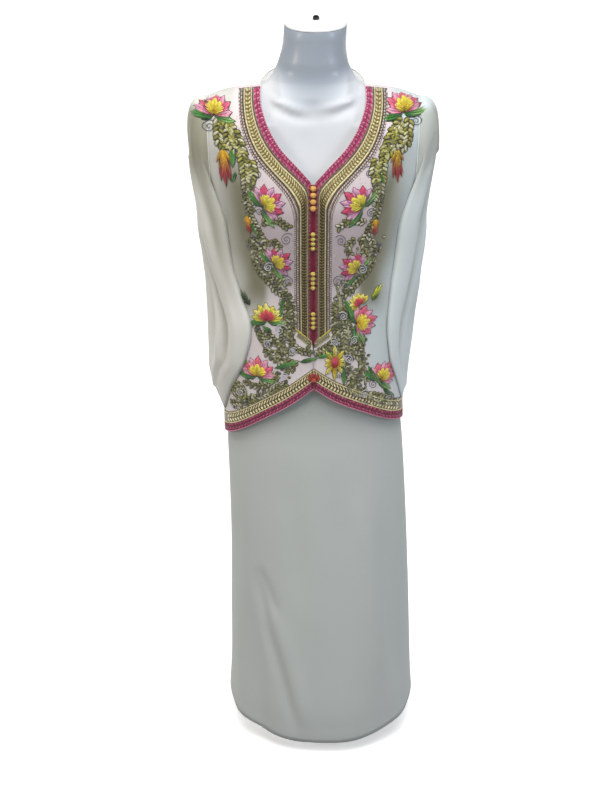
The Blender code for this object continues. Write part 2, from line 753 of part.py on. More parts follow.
def make_dress():
    """Front and back of the long dress, joined at the sides and shoulders by seams."""
    for way, name in ((-1, "front"), (1, "back")):
        whole = [[] for _ in panel_levels(DRESS_CELLS)]
        for side in (-1, 1):
            half = half_panel(
                DRESS, way, side, DRESS_CELLS, dress_neck, dress_side, shoulder_of(DRESS, way),
                lambda out: DRESS_HEM,
            )
            half = [[folded(point, side, way) for point in row] for row in half]
            for line, row in zip(whole, half):
                line.append(row[::-1] if side < 0 else row)
        split = DRESS_CELLS[0]
        rows = [joined(left, right, j >= split) for j, (left, right) in enumerate(whole)]
        panel_object(f"dress_{name}", rows, split, way > 0)


def joined(left, right, meet):
    """A row across both halves. Where they meet, the point on the centre line is shared."""
    return left[:-1] + right if meet else left + right


def panel_object(name, rows, split, flip):
    """A panel whose rows above the split have a neckline between two shoulders."""
    vertices = []
    index = []
    for row in rows:
        index.append([len(vertices) + i for i in range(len(row))])
        vertices.extend(row)
    half = (len(rows[-1]) + 1) // 2
    halves = []
    for j, line in enumerate(index):
        halves.append((line[:half], line[-half:]))
    faces = []
    for j in range(len(rows) - 1):
        for part in (0, 1):
            upper, lower = halves[j][part], halves[j + 1][part]
            for i in range(half - 1):
                cell = (upper[i], upper[i + 1], lower[i + 1], lower[i])
                faces.extend(split_cell(vertices, cell[::-1] if flip else cell, INNER))
    mesh = bpy.data.meshes.new(name)
    mesh.from_pydata(vertices, [], faces)
    mesh.validate()
    piece = bpy.data.objects.new(name, mesh)
    wall = piece.modifiers.new("Wall", "SOLIDIFY")
    wall.thickness = CLOTH
    wall.offset = 0.0
    wall.use_even_offset = True
    finish(piece, CREPE, 0.75)


def form_section(height, count):
    """Points round the form at this height, counter-clockwise from above."""
    half_width = by_height(FORM_ROWS, "half_width", height)
    reach = half_width
    shoulder_foot = FORM_SHOULDER[-1].height
    if height > shoulder_foot:
        reach = min(half_width, by_height(FORM_SHOULDER, "out", height))
    centre = by_height(FORM_ROWS, "centre", height)
    points = []
    for k in range(count):
        angle = 2 * math.pi * k / count
        across = abs(math.cos(angle)) ** (2 / SQUARENESS)
        way = -1 if math.sin(angle) < 0 else 1
        out = reach * across
        deep = by_height(FORM_ROWS, "front" if way < 0 else "back", height)
        deep *= (1 - min(1.0, out / half_width) ** SQUARENESS) ** (1 / SQUARENESS)
        if height > shoulder_foot:
            drop = min(1.0, max(0.0, by_out(FORM_SHOULDER, out) - height) / SHOULDER_ROUND)
            arch = math.sqrt(1 - (1 - drop) ** 2)
            neck = min(1.0, max(0.0, (height - NECK_CLEAR[0]) / NECK_CLEAR[1]))
            deep *= arch + (1 - arch) * neck
        if k % (count // 2) == 0:
            deep = 0.0
        points.append(Vector((centre + math.copysign(out, math.cos(angle)), way * deep, height)))
    return points


def tilted(point):
    """A point of the neck's top, moved onto its plane, which rises to the back."""
    return Vector((point.x, point.y, NECK_TOP_FRONT + (point.y + NECK_FRONT) * math.tan(NECK_TILT)))


def solid_loft(name, rings, colour, roughness):
    """A closed solid through rings of equal count, capped at both ends."""
    count = len(rings[0])
    vertices = [point for ring in rings for point in ring]
    faces = [tuple(range(count))[::-1]]
    for j in range(len(rings) - 1):
        for i in range(count):
            k = (i + 1) % count
            faces.append((j * count + i, j * count + k, (j + 1) * count + k, (j + 1) * count + i))
    last = (len(rings) - 1) * count
    faces.append(tuple(last + i for i in range(count)))
    mesh = bpy.data.meshes.new(name)
    mesh.from_pydata(vertices, [], faces)
    mesh.validate()
    return finish(bpy.data.objects.new(name, mesh), colour, roughness)


def make_form():
    """The torso to the neck's tilted top, its cap and knob, and the pole and base that carry it."""
    count = FORM_SIDES
    rings = [form_section(height, count) for height in FORM_HEIGHTS]
    top = [tilted(point) for point in form_section(NECK_TOP, count)]
    solid_loft("form_torso", rings + [top], FORM_WHITE, 0.15)
    cap_low = [point + Vector((0, 0, SEAM)) for point in top]
    cap_high = [Vector((p.x * CAP_TAPER, p.y * CAP_TAPER, p.z + CAP_THICK)) for p in cap_low]
    solid_loft("neck_cap", [cap_low, cap_high], FORM_WHITE, 0.15)
    neck_centre = FORM_ROWS[0].centre
    knob_foot = tilted(Vector((neck_centre, KNOB_RADIUS, 0))).z + SEAM + CAP_THICK + SEAM
    turned("cap_knob", KNOB_RADIUS, knob_foot, knob_foot + KNOB_HEIGHT, KNOB_SIDES, STEEL, neck_centre)
    turned("stand_pole", POLE_RADIUS, BASE_THICK + SEAM, FORM_BASE - SEAM, POLE_SIDES, STEEL)
    turned("stand_base", BASE_RADIUS, 0.0, BASE_THICK, BASE_SIDES, STEEL)


def turned(name, radius, low, high, count, colour, x=0.0):
    """A plain round piece standing upright at this x."""
    bpy.ops.mesh.primitive_cylinder_add(vertices=count, radius=radius, depth=high - low)
    piece = bpy.context.object
    piece.name = name
    piece.data.name = name
    piece.data.transform(Matrix.Translation((x, 0, (low + high) / 2)))
    for holder in list(piece.users_collection):
        holder.objects.unlink(piece)
    finish(piece, colour, 0.35, 0.8)


for old in list(bpy.data.objects):
    bpy.data.objects.remove(old)
DRESS_COLLECTION = bpy.data.collections.new("Kaftan dress")
bpy.context.scene.collection.children.link(DRESS_COLLECTION)
make_form()
make_dress()
make_overlay()
make_placket()
make_trims()
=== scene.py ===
"""The looks of a kaftan dress on its dress form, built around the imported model.

Metres, +Z up, the front faces -Y. A sheer hip-length overlay with empty hanging sleeves is worn over a
long crepe dress. Every cloth is a thin shell worked out from the same tables of half widths and depths
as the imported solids. Trims and embroidery are drawn on flat planes first, in real sizes, and are then
laid on the cloth: a plane's first number runs along, the second across, the third is the lift.
"""

import math
from collections import namedtuple

import bmesh
import bpy
import numpy as np
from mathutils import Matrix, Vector
from mathutils.bvhtree import BVHTree


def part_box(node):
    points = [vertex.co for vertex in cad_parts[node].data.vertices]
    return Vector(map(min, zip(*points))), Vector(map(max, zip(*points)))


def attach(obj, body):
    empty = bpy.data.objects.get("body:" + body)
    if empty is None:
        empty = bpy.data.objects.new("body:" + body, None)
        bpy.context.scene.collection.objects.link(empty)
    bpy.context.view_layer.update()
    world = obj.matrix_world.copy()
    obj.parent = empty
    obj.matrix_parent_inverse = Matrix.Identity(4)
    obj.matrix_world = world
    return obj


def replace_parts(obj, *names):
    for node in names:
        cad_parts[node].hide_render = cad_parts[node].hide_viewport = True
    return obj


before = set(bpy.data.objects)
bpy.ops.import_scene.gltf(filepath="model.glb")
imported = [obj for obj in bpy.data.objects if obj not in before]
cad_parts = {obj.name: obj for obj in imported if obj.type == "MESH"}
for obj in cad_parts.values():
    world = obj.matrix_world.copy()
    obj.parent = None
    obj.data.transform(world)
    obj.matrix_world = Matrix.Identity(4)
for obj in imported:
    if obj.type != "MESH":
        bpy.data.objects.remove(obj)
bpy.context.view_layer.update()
RANDOM = np.random.default_rng(11)

# The photograph's camera
EYE = (-0.024, -2.3, 1.80)
PITCH = math.radians(24.08)
FOCAL = 1218.0
PHOTO_WIDE, PHOTO_HIGH = 600, 800
SENSOR = 36.0

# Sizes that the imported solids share
CLOTH = 0.0010
CHIFFON_THICK = CLOTH * 0.8
SEAM_ROOM = 0.0003
SLEEVE_GAP = 0.0018
ARMHOLE_GAP = 0.0009
UNDERARM_GAP = 0.0026
SQUARENESS = 2.3
NECK_SIDE = 0.096
SHOULDER_TIP = 0.195
V_HEIGHT = 1.259
PLACKET_END = 0.945
PLACKET_HALF = 0.0035
PLACKET_CLOSES = 0.020
SEAM = 0.0003
STRIP_HALF = 0.0105
TRIM_BAND = 0.042
UNDERARM = 1.165
SHOULDER_ROUND = 0.09
BACK_NECK_RISE = 0.03
BACK_RIDGE_RISE = 0.062
DRESS_NECK_SIDE = 0.121
DRESS_TIP = 0.168
DRESS_V = 1.222
DRESS_NECK_POWER = 1.6
DRESS_UNDERARM = 1.150
DRESS_HEM = 0.030
DRESS_DROP = 0.0018
NECK_TOP = 1.520
NECK_TOP_FRONT = 1.512
NECK_FRONT = 0.056
NECK_CLEAR = (1.42, 0.03)
NECK_TILT = math.radians(10)
FORM_BASE = 0.765
CAP_THICK = 0.006
CUFF_LIFTS_OVER = 0.12
CRESCENT_FULLNESS = 2.4
CRESCENT_FLATNESS = 0.55
SLANTS_START = 0.15
SLANTS_GROW = 0.75
LEAVES_OUT = (0.35, 0.92)
LEAVES_DOWN = (-0.55, 0.13)
HANGS_DOWN = -0.9

Girth = namedtuple("Girth", "height half_width front back centre")
Edge = namedtuple("Edge", "height out")
Crescent = namedtuple("Crescent", "height front_edge back_edge reach")
Fold = namedtuple("Fold", "turn drift width depth top")
Slant = namedtuple("Slant", "high low width depth")
Cut = namedtuple("Cut", "rows ridge_drop round")

OVERLAY_ROWS = [
    Girth(1.420, 0.228, 0.112, 0.092, 0.000),
    Girth(1.360, 0.228, 0.112, 0.093, 0.000),
    Girth(1.300, 0.222, 0.118, 0.096, 0.000),
    Girth(1.250, 0.213, 0.125, 0.098, 0.000),
    Girth(1.200, 0.198, 0.132, 0.100, 0.000),
    Girth(1.165, 0.186, 0.135, 0.101, 0.000),
    Girth(1.100, 0.180, 0.134, 0.101, 0.000),
    Girth(1.000, 0.178, 0.132, 0.105, 0.001),
    Girth(0.900, 0.180, 0.135, 0.114, 0.002),
    Girth(0.800, 0.183, 0.141, 0.125, 0.003),
    Girth(0.700, 0.186, 0.147, 0.134, 0.005),
]
DRESS_ROWS = [
    Girth(1.410, 0.208, 0.101, 0.082, 0.0000),
    Girth(1.360, 0.208, 0.101, 0.083, 0.0000),
    Girth(1.300, 0.200, 0.107, 0.086, 0.0000),
    Girth(1.250, 0.190, 0.115, 0.088, 0.0000),
    Girth(1.200, 0.170, 0.122, 0.089, 0.0000),
    Girth(1.150, 0.146, 0.118, 0.086, 0.0000),
    Girth(1.090, 0.120, 0.098, 0.077, 0.0000),
    Girth(1.000, 0.137, 0.101, 0.087, 0.0005),
    Girth(0.920, 0.156, 0.111, 0.101, 0.0015),
    Girth(0.850, 0.167, 0.121, 0.112, 0.0025),
    Girth(0.780, 0.1745, 0.128, 0.120, 0.0040),
    Girth(0.700, 0.1810, 0.135, 0.129, 0.0070),
    Girth(0.600, 0.1845, 0.141, 0.137, 0.0120),
    Girth(0.450, 0.1895, 0.150, 0.147, 0.0175),
    Girth(0.300, 0.1955, 0.159, 0.157, 0.0205),
    Girth(0.150, 0.2010, 0.167, 0.166, 0.0230),
    Girth(0.030, 0.2095, 0.1735, 0.1735, 0.0235),
]
FORM_ROWS = [
    Girth(1.530, 0.0565, 0.0560, 0.0560, 0.0050),
    Girth(1.490, 0.0580, 0.0535, 0.0540, 0.0025),
    Girth(1.450, 0.0665, 0.0575, 0.0570, 0.0000),
    Girth(1.425, 0.0900, 0.0650, 0.0620, 0.0000),
    Girth(1.400, 0.2010, 0.0770, 0.0690, 0.0000),
    Girth(1.360, 0.2010, 0.0880, 0.0750, 0.0000),
    Girth(1.300, 0.1930, 0.0980, 0.0790, 0.0000),
    Girth(1.250, 0.1800, 0.1070, 0.0810, 0.0000),
    Girth(1.200, 0.1600, 0.1150, 0.0820, 0.0000),
    Girth(1.150, 0.1370, 0.1100, 0.0790, 0.0000),
    Girth(1.090, 0.1130, 0.0905, 0.0700, 0.0000),
    Girth(1.000, 0.1290, 0.0935, 0.0800, 0.0000),
    Girth(0.920, 0.1480, 0.1030, 0.0940, 0.0000),
    Girth(0.850, 0.1580, 0.1110, 0.1040, 0.0000),
    Girth(0.765, 0.1600, 0.1150, 0.1080, 0.0000),
]
FORM_SHOULDER = [
    Edge(1.4700, 0.0620),
    Edge(1.4460, 0.0690),
    Edge(1.4300, 0.0765),
    Edge(1.4190, 0.0850),
    Edge(1.4140, 0.0925),
    Edge(1.4101, 0.1000),
    Edge(1.4065, 0.1200),
    Edge(1.4027, 0.1500),
    Edge(1.3970, 0.1700),
    Edge(1.3850, 0.1880),
    Edge(1.3550, 0.2000),
]
SHOULDER_LINE = [
    Edge(1.4130, 0.095),
    Edge(1.4070, 0.150),
    Edge(1.3950, 0.190),
    Edge(1.3800, 0.215),
    Edge(1.3500, 0.240),
]
NECK_EDGE = [
    Edge(1.413, 0.0960),
    Edge(1.400, 0.0958),
    Edge(1.370, 0.0880),
    Edge(1.322, 0.0615),
    Edge(1.288, 0.0305),
    Edge(1.259, 0.0040),
]
TRIM_EDGE = [
    Edge(1.409, 0.1370),
    Edge(1.365, 0.1330),
    Edge(1.305, 0.1120),
    Edge(1.262, 0.0740),
    Edge(1.225, 0.0420),
    Edge(1.195, 0.0350),
]
TRIM_ENDS = (0.004, 0.030)
HEM = {
    "left": [Edge(0.856, 0.000), Edge(0.822, 0.045), Edge(0.784, 0.103), Edge(0.722, 0.184)],
    "right": [Edge(0.856, 0.000), Edge(0.829, 0.042), Edge(0.799, 0.103), Edge(0.752, 0.184)],
}
SLEEVE = {
    "left": [
        Crescent(1.150, 0.158, 0.160, 0.2190),
        Crescent(1.090, 0.150, 0.158, 0.2120),
        Crescent(1.030, 0.133, 0.156, 0.2050),
        Crescent(0.970, 0.117, 0.156, 0.2030),
        Crescent(0.900, 0.132, 0.158, 0.2040),
        Crescent(0.840, 0.158, 0.165, 0.2060),
        Crescent(0.775, 0.178, 0.178, 0.2030),
    ],
    "right": [
        Crescent(1.150, 0.158, 0.160, 0.2210),
        Crescent(1.090, 0.152, 0.158, 0.2150),
        Crescent(1.030, 0.145, 0.156, 0.2090),
        Crescent(0.970, 0.142, 0.156, 0.2010),
        Crescent(0.900, 0.149, 0.158, 0.1960),
        Crescent(0.840, 0.166, 0.168, 0.1930),
        Crescent(0.800, 0.176, 0.176, 0.1925),
    ],
}
CUFF_LIFT = {"left": 0.055, "right": 0.020}
SLEEVE_FOLDS = [
    Slant(0.10, 0.80, 0.20, -0.0045),
    Slant(-0.25, 0.35, 0.24, 0.0050),
    Slant(-0.80, -0.55, 0.24, -0.0040),
]
SKIRT_FOLDS = {
    "front": [
        Fold(-0.98, -0.30, 0.16, 0.0075, 0.66),
        Fold(-0.62, -0.35, 0.15, -0.0060, 0.60),
        Fold(0.25, 0.05, 0.22, 0.0035, 0.55),
        Fold(0.95, 0.10, 0.18, 0.0060, 0.60),
    ],
    "back": [
        Fold(-0.95, 0.10, 0.20, 0.0060, 0.58),
        Fold(-0.35, 0.05, 0.20, -0.0050, 0.62),
        Fold(0.30, -0.05, 0.22, 0.0060, 0.62),
        Fold(0.90, 0.10, 0.18, 0.0050, 0.55),
    ],
}
Group = namedtuple("Group", "top pitch size")
BUTTON_GROUPS = [
    Group(1.249, 0.0118, 0.0114),
    Group(1.166, 0.0089, 0.0090),
    Group(1.090, 0.0092, 0.0092),
    Group(1.010, 0.0089, 0.0090),
]
BUTTONS_A_GROUP = 4

OVERLAY = Cut(OVERLAY_ROWS, 0.0, SHOULDER_ROUND)
DRESS = Cut(DRESS_ROWS, DRESS_DROP, SHOULDER_ROUND - 0.004)
SIDES = ((-1, "left"), (1, "right"))


def eased(knots, values, at):
    """Values on the smooth curve through the knots, which never swings past them."""
    knots, values = np.asarray(knots, float), np.asarray(values, float)
    steps = np.diff(values) / np.diff(knots)
    slopes = np.empty_like(values)
    slopes[0], slopes[-1] = steps[0], steps[-1]
    before, after = steps[:-1], steps[1:]
    level = before * after <= 0
    slopes[1:-1] = np.where(level, 0.0, 2 * before * after / np.where(level, 1.0, before + after))
    at = np.clip(at, knots[0], knots[-1])
    i = np.clip(np.searchsorted(knots, at, side="right") - 1, 0, len(knots) - 2)
    span = knots[i + 1] - knots[i]
    t = (at - knots[i]) / span
    rise = values[i + 1] - values[i]
    start, end = slopes[i] * span, slopes[i + 1] * span
    return values[i] + t * (start + t * ((3 * rise - 2 * start - end) + t * (start + end - 2 * rise)))


def by_height(rows, column, height):
    """A table's column at these heights. The rows run downwards."""
    upward = rows[::-1]
    return eased([row.height for row in upward], [getattr(row, column) for row in upward], height)


def table_depth(rows, way, height):
    """A table's full depth at these heights, before (way under 0) or behind the side seam's plane."""
    return np.where(way < 0, by_height(rows, "front", height), by_height(rows, "back", height))


def by_out(rows, out):
    """Height of a line at these distances out from the centre."""
    return eased([row.out for row in rows], [row.height for row in rows], out)


def ease(low, high, value):
    """0 below low, 1 above high, smooth between."""
    t = np.clip((value - low) / (high - low), 0.0, 1.0)
    return t * t * (3 - 2 * t)


def ridge(cut, out, way):
    """Height at which front and back meet above these distances out: the shoulder, or behind the neck."""
    line = by_out(SHOULDER_LINE, out) - cut.ridge_drop
    if way > 0:
        line = line + BACK_RIDGE_RISE * np.sqrt(np.clip(1 - (out / NECK_SIDE) ** 2, 0, 1))
    return line


def depth(cut, out, height, way):
    """How far the cloth lies before (way -1) or behind (way 1) the side seam's plane."""
    across = np.minimum(1.0, out / by_height(cut.rows, "half_width", height))
    plan = (1 - across**SQUARENESS) ** (1 / SQUARENESS)
    drop = np.clip((ridge(cut, out, way) - height) / cut.round, 0.0, 1.0)
    arch = np.sqrt(1 - (1 - drop) ** 2)
    full = by_height(cut.rows, "front" if way < 0 else "back", height)
    return full * plan * arch + SEAM_ROOM


def laid(cut, way, side, out, height, lift, step=0.0015):
    """Points of the cloth's middle surface, moved outwards along its normal by lift."""
    side = np.asarray(side, float)
    here = depth(cut, out, height, way)
    near = np.maximum(0.0, out - step)
    slope_x = (depth(cut, out + step, height, way) - depth(cut, near, height, way)) / (out + step - near)
    slope_z = (depth(cut, out, height + step, way) - depth(cut, out, height - step, way)) / (2 * step)
    normal = np.stack([-slope_x * side, np.full_like(here, way), -slope_z], -1)
    normal /= np.linalg.norm(normal, axis=-1, keepdims=True)
    x = by_height(cut.rows, "centre", height) + side * out
    return np.stack([x, way * here, height], -1) + normal * np.asarray(lift)[..., None]


def turn_of(cut, out, height):
    """Angle round the section, 0 at the centre line and a right angle at the side seam."""
    share = np.clip(out / by_height(cut.rows, "half_width", height), 0.0, 1.0)
    return np.arcsin(share ** (SQUARENESS / 2))


def out_of(cut, turn, height):
    """Distance out from the centre at this angle round the section."""
    return by_height(cut.rows, "half_width", height) * np.sin(turn) ** (2 / SQUARENESS)


def panel_levels(cells):
    """Shares of the way from the shoulder to the underarm, then from there to the hem."""
    upper, lower, _ = cells
    levels = [(1 - math.cos(math.pi / 2 * j / upper), 0.0) for j in range(upper + 1)]
    return levels + [(1.0, j / lower) for j in range(1, lower + 1)]


def half_panel(cut, cells, inner, outer, top, hem):
    """Grids of (out, height) on a half panel. inner and outer give both at a level, top and hem a height."""
    share = np.linspace(0.0, 1.0, cells[2] + 1)
    outs, heights = [], []
    for upper, lower in panel_levels(cells):
        in_out, in_height = inner(upper, lower)
        out_out, out_height = outer(upper, lower)
        in_turn, out_turn = turn_of(cut, in_out, in_height), turn_of(cut, out_out, out_height)
        turn = in_turn + (out_turn - in_turn) * share
        height = in_height + (out_height - in_height) * share
        for line, weight in ((top, 1 - upper), (hem, lower)):
            if weight > 0:
                straight = line(in_out) + (line(out_out) - line(in_out)) * share
                height = height + weight * (line(out_of(cut, turn, height)) - straight)
        outs.append(out_of(cut, turn, height))
        heights.append(height)
    return np.array(outs), np.array(heights)


def shoulder_of(cut, way):
    """The shoulder line of a cut as a function of the distance out, with the raised neck behind."""
    rise = BACK_NECK_RISE if way > 0 and cut is OVERLAY else 0.0

    def line(out):
        raised = rise * np.sqrt(np.clip(1 - (out / NECK_SIDE) ** 2, 0, 1))
        return by_out(SHOULDER_LINE, out) - cut.ridge_drop + raised

    return line


def armhole(share):
    """The overlay's armhole, from the shoulder tip down to the underarm."""
    top = by_out(SHOULDER_LINE, SHOULDER_TIP)
    foot = by_height(OVERLAY_ROWS, "half_width", UNDERARM)
    return SHOULDER_TIP + (foot - SHOULDER_TIP) * share, top + (UNDERARM - top) * share


def side_edge(hem_height):
    """The armhole and side seam of a half that ends at this height."""

    def edge(upper, lower):
        if lower == 0:
            return armhole(upper)
        height = UNDERARM + (hem_height - UNDERARM) * lower
        return by_height(OVERLAY_ROWS, "half_width", height), height

    return edge


def front_edge(upper, lower):
    """The neckline, the placket and the short closed seam under it."""
    top = NECK_EDGE[0].height
    if lower == 0:
        height = top + (V_HEIGHT - top) * upper
        return by_height(NECK_EDGE, "out", height), height
    height = V_HEIGHT + (HEM["left"][0].height - V_HEIGHT) * lower
    closing = np.clip((PLACKET_END + PLACKET_CLOSES / 2 - height) / PLACKET_CLOSES, 0.0, 1.0)
    return PLACKET_HALF + (SEAM / 2 - PLACKET_HALF) * closing, height


def seen_at(u, v):
    """(x, z) of the overlay's front where a place of the photograph, 600 by 800, shows it."""
    u, v = np.asarray(u, float), np.asarray(v, float)
    up = (PHOTO_HIGH / 2 - v) / FOCAL
    ray = np.stack([
        (u - PHOTO_WIDE / 2) / FOCAL,
        math.cos(PITCH) + up * math.sin(PITCH),
        -math.sin(PITCH) + up * math.cos(PITCH),
    ])
    y = np.full_like(u, -0.12)
    for _ in range(30):
        t = (y - EYE[1]) / ray[1]
        x, z = EYE[0] + t * ray[0], EYE[2] + t * ray[2]
        out = np.abs(x - by_height(OVERLAY_ROWS, "centre", z))
        y = 0.5 * y - 0.5 * depth(OVERLAY, out, z, -1)
    return x, z


def smooth_path(points, step):
    """A smooth line through a few points, with new points a step apart."""
    points = np.asarray(points, float)
    ends = np.vstack([2 * points[0] - points[1], points, 2 * points[-1] - points[-2]])
    t = np.linspace(0, 1, 24, endpoint=False)[:, None]
    spans = []
    for a, b, c, d in zip(ends, ends[1:], ends[2:], ends[3:]):
        squared, cubed = (2 * a - 5 * b + 4 * c - d) * t**2, (3 * b - a - 3 * c + d) * t**3
        spans.append(0.5 * (2 * b + (c - a) * t + squared + cubed))
    line = np.vstack([*spans, points[-1:]])
    run = np.concatenate([[0], np.cumsum(np.linalg.norm(np.diff(line, axis=0), axis=1))])
    at = np.linspace(0, run[-1], max(3, int(round(run[-1] / step)) + 1))
    return np.stack([np.interp(at, run, line[:, 0]), np.interp(at, run, line[:, 1])], 1)


def dyed(code):
    """The linear colour of an sRGB hex value."""
    parts = [int(code[i : i + 2], 16) / 255 for i in (1, 3, 5)]
    return np.array([c / 12.92 if c <= 0.04045 else ((c + 0.055) / 1.055) ** 2.4 for c in parts])


def wall_faces(rows, columns, wrapped):
    """Four-sided faces between rows of points. Wrapped rows run round."""
    faces = []
    for j in range(rows - 1):
        for i in range(columns if wrapped else columns - 1):
            k = (i + 1) % columns
            faces.append((j * columns + i, j * columns + k, (j + 1) * columns + k, (j + 1) * columns + i))
    return faces


def closed_faces(rings, sides):
    """Faces of a closed solid through rings of points, with a flat face at each end."""
    last = (rings - 1) * sides
    return [tuple(range(sides))[::-1], *wall_faces(rings, sides, True), tuple(range(last, last + sides))]


def dye_lot(*codes):
    """Linear colours of a set of threads."""
    return [dyed(code) for code in codes]


def blade_faces(rows, columns):
    """Faces of a pointed patch: a point, rows of columns, a point, and one face under it."""
    last = rows * columns + 1
    faces = []
    for c in range(columns - 1):
        faces.append((0, 1 + c, 2 + c))
        faces.append((last, last - columns + c + 1, last - columns + c))
    for a, b, c, d in wall_faces(rows, columns, False):
        faces.append((a + 1, d + 1, c + 1, b + 1))
    near = [1 + r * columns for r in range(rows)]
    far = [r * columns + columns for r in range(rows)]
    faces.append((0, *far, last, *near[::-1]))
    return faces


class Work:
    """Many small closed shapes drawn on one plane, each with its own dye, joined into one mesh."""

    def __init__(self):
        self.points, self.faces, self.dyes, self.count = [], [], [], 0

    def add(self, points, faces, dye):
        self.points.append(points)
        self.dyes.append(np.broadcast_to(dye, (len(points), 3)))
        self.faces.extend([tuple(i + self.count for i in face) for face in faces])
        self.count += len(points)

    def add_rod(self, rings, dye):
        """A closed rod through rings of points, of one dye or one for each ring."""
        count, sides = rings.shape[:2]
        dye = np.asarray(dye)
        dyes = np.repeat(dye, sides, axis=0) if dye.ndim == 2 else dye
        self.add(rings.reshape(-1, 3), closed_faces(count, sides), dyes)

    def blade(
        self, at, angle, length, width, height, root, tip,
        bend=0.0, base=0.0, fine=False, waist=0.5, point=0.5, turns=(0.15, 0.9),
    ):
        """A petal, leaf or satin stitch, pointed at both ends, that starts at a place and puffs up."""
        rows, columns = (7, 5) if fine else (3, 3)
        t = np.linspace(0, 1, rows + 2)
        swing = angle + bend * (t - 0.5)
        middle = (t[1:] + t[:-1]) / 2
        steps = np.stack([np.cos(angle + bend * (middle - 0.5)), np.sin(angle + bend * (middle - 0.5))], 1)
        spine = np.vstack([[0, 0], np.cumsum(steps * np.diff(t)[:, None] * length, axis=0)])
        shape = t**waist * (1 - t) ** point
        shape = shape / shape.max() * width / 2
        cross = np.linspace(-1, 1, columns)
        points = [[*spine[0], 0.0]]
        dyes = [root]
        for r in range(1, rows + 1):
            sideways = np.array([-math.sin(swing[r]), math.cos(swing[r])])
            for c in cross:
                puff = (1 - c * c) * math.sqrt(4 * t[r] * (1 - t[r]))
                points.append([*(spine[r] + sideways * c * shape[r]), puff * height])
                dyes.append(root + (tip - root) * ease(*turns, t[r]))
        points.append([*spine[-1], 0.0])
        dyes.append(tip)
        points = np.array(points) + [at[0], at[1], base]
        self.add(points, blade_faces(rows, columns), np.array(dyes))

    def thread(self, path, width, height, dye, base=0.0):
        """A cord laid along a path, low and rounded."""
        path = np.asarray(path, float)
        along = np.gradient(path, axis=0)
        along /= np.linalg.norm(along, axis=1, keepdims=True)
        sideways = np.stack([-along[:, 1], along[:, 0]], 1)
        widths = np.broadcast_to(width, len(path))[:, None]
        rings = []
        for across, up in ((-0.5, 0.0), (-0.32, 0.75), (0.0, 1.0), (0.32, 0.75), (0.5, 0.0)):
            flat = path + sideways * across * widths
            rings.append(np.column_stack([flat, np.full(len(path), base + up * height)]))
        self.add_rod(np.stack(rings, 1), dye)

    def dome(self, at, radius, height, dye, sides=7, base=0.0, stretch=1.0):
        """A round raised knot, bead or bobble."""
        angles = np.linspace(0, 2 * math.pi, sides, endpoint=False)
        ring = np.stack([np.cos(angles) * stretch, np.sin(angles)], 1)
        points = [
            np.column_stack([ring * radius * r, np.full(sides, height * h)]) for r, h in ((1, 0), (0.8, 0.62))
        ]
        points = np.vstack([*points, [[0, 0, height]]]) + [at[0], at[1], base]
        faces = [tuple(range(sides))[::-1]]
        for s in range(sides):
            n = (s + 1) % sides
            faces.append((s, n, n + sides, s + sides))
            faces.append((s + sides, n + sides, 2 * sides))
        self.add(points, faces, dye)

    def tape(self, along, low, high, height, dye):
        """A flat band between two distances across, with rounded edges."""
        edge = 0.12 * (high - low)
        profile = ((low, 0), (low + 0.3 * edge, 0.7 * height), (low + edge, height), (high - edge, height),
                   (high - 0.3 * edge, 0.7 * height), (high, 0))
        self.add_rod(np.array([[[a, across, up] for across, up in profile] for a in along]), dye)


def put(name, data):
    """An object of the scene that holds this mesh, light or camera."""
    thing = bpy.data.objects.new(name, data)
    bpy.context.scene.collection.objects.link(thing)
    return thing


def make_object(name, points, faces, material, dyes=None, closed=True):
    """A smooth mesh piece of the dress with its material, riding on the one body."""
    mesh = bpy.data.meshes.new(name)
    mesh.from_pydata(np.asarray(points).tolist(), [], faces)
    mesh.validate()
    if dyes is not None:
        layer = mesh.color_attributes.new("dye", "FLOAT_COLOR", "POINT")
        layer.data.foreach_set("color", np.column_stack([dyes, np.ones(len(dyes))]).ravel())
    if closed:
        work = bmesh.new()
        work.from_mesh(mesh)
        bmesh.ops.recalc_face_normals(work, faces=work.faces)
        work.to_mesh(mesh)
        work.free()
    mesh.shade_smooth()
    mesh.materials.append(material)
    piece = put(name, mesh)
    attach(piece, "root")
    return piece


def sew(name, work, plane, material, slot, *nodes):
    """Lays a gathered work on its plane of the garment."""
    flat = np.concatenate(work.points)
    piece = make_object(name, plane(*flat.T), work.faces, material, np.concatenate(work.dyes))
    if nodes:
        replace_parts(piece, *nodes)
    return piece


def thicken(piece, thickness):
    """Gives a sheet its thickness, half to each side."""
    wall = piece.modifiers.new("Wall", "SOLIDIFY")
    wall.thickness, wall.offset = thickness, 0.0


def shell(name, grid, material, thickness, marks=None, wrapped=False):
    """A thin cloth wall through a grid of points, with an optional mark from 0 to 1 at each point."""
    dyes = None if marks is None else np.asarray(marks).reshape(-1, 3)
    faces = wall_faces(*grid.shape[:2], wrapped)
    piece = make_object(name, grid.reshape(-1, 3), faces, material, dyes, closed=False)
    thicken(piece, thickness)
    return piece


def feed(tree, node, inputs):
    """Gives a node's inputs a value, a colour as sRGB hex, or another node's output."""
    for key, value in inputs.items():
        if isinstance(value, bpy.types.NodeSocket):
            tree.links.new(value, node.inputs[key])
        else:
            node.inputs[key].default_value = rgba(value) if isinstance(value, str) else value


def add(tree, kind, inputs, **settings):
    """Adds a node with its settings, its values and its links."""
    node = tree.nodes.new(kind)
    for key, value in settings.items():
        setattr(node, key, value)
    feed(tree, node, inputs)
    return node


def new_material(name):
    """A material with its node tree and shader, and object coordinates in metres."""
    material = bpy.data.materials.new(name)
    material.use_nodes = True
    tree = material.node_tree
    place = add(tree, "ShaderNodeTexCoord", {}).outputs["Object"]
    return material, tree, tree.nodes["Principled BSDF"], place


def rgba(code):
    """A colour as a shader's socket takes it."""
    return (*dyed(code), 1.0)


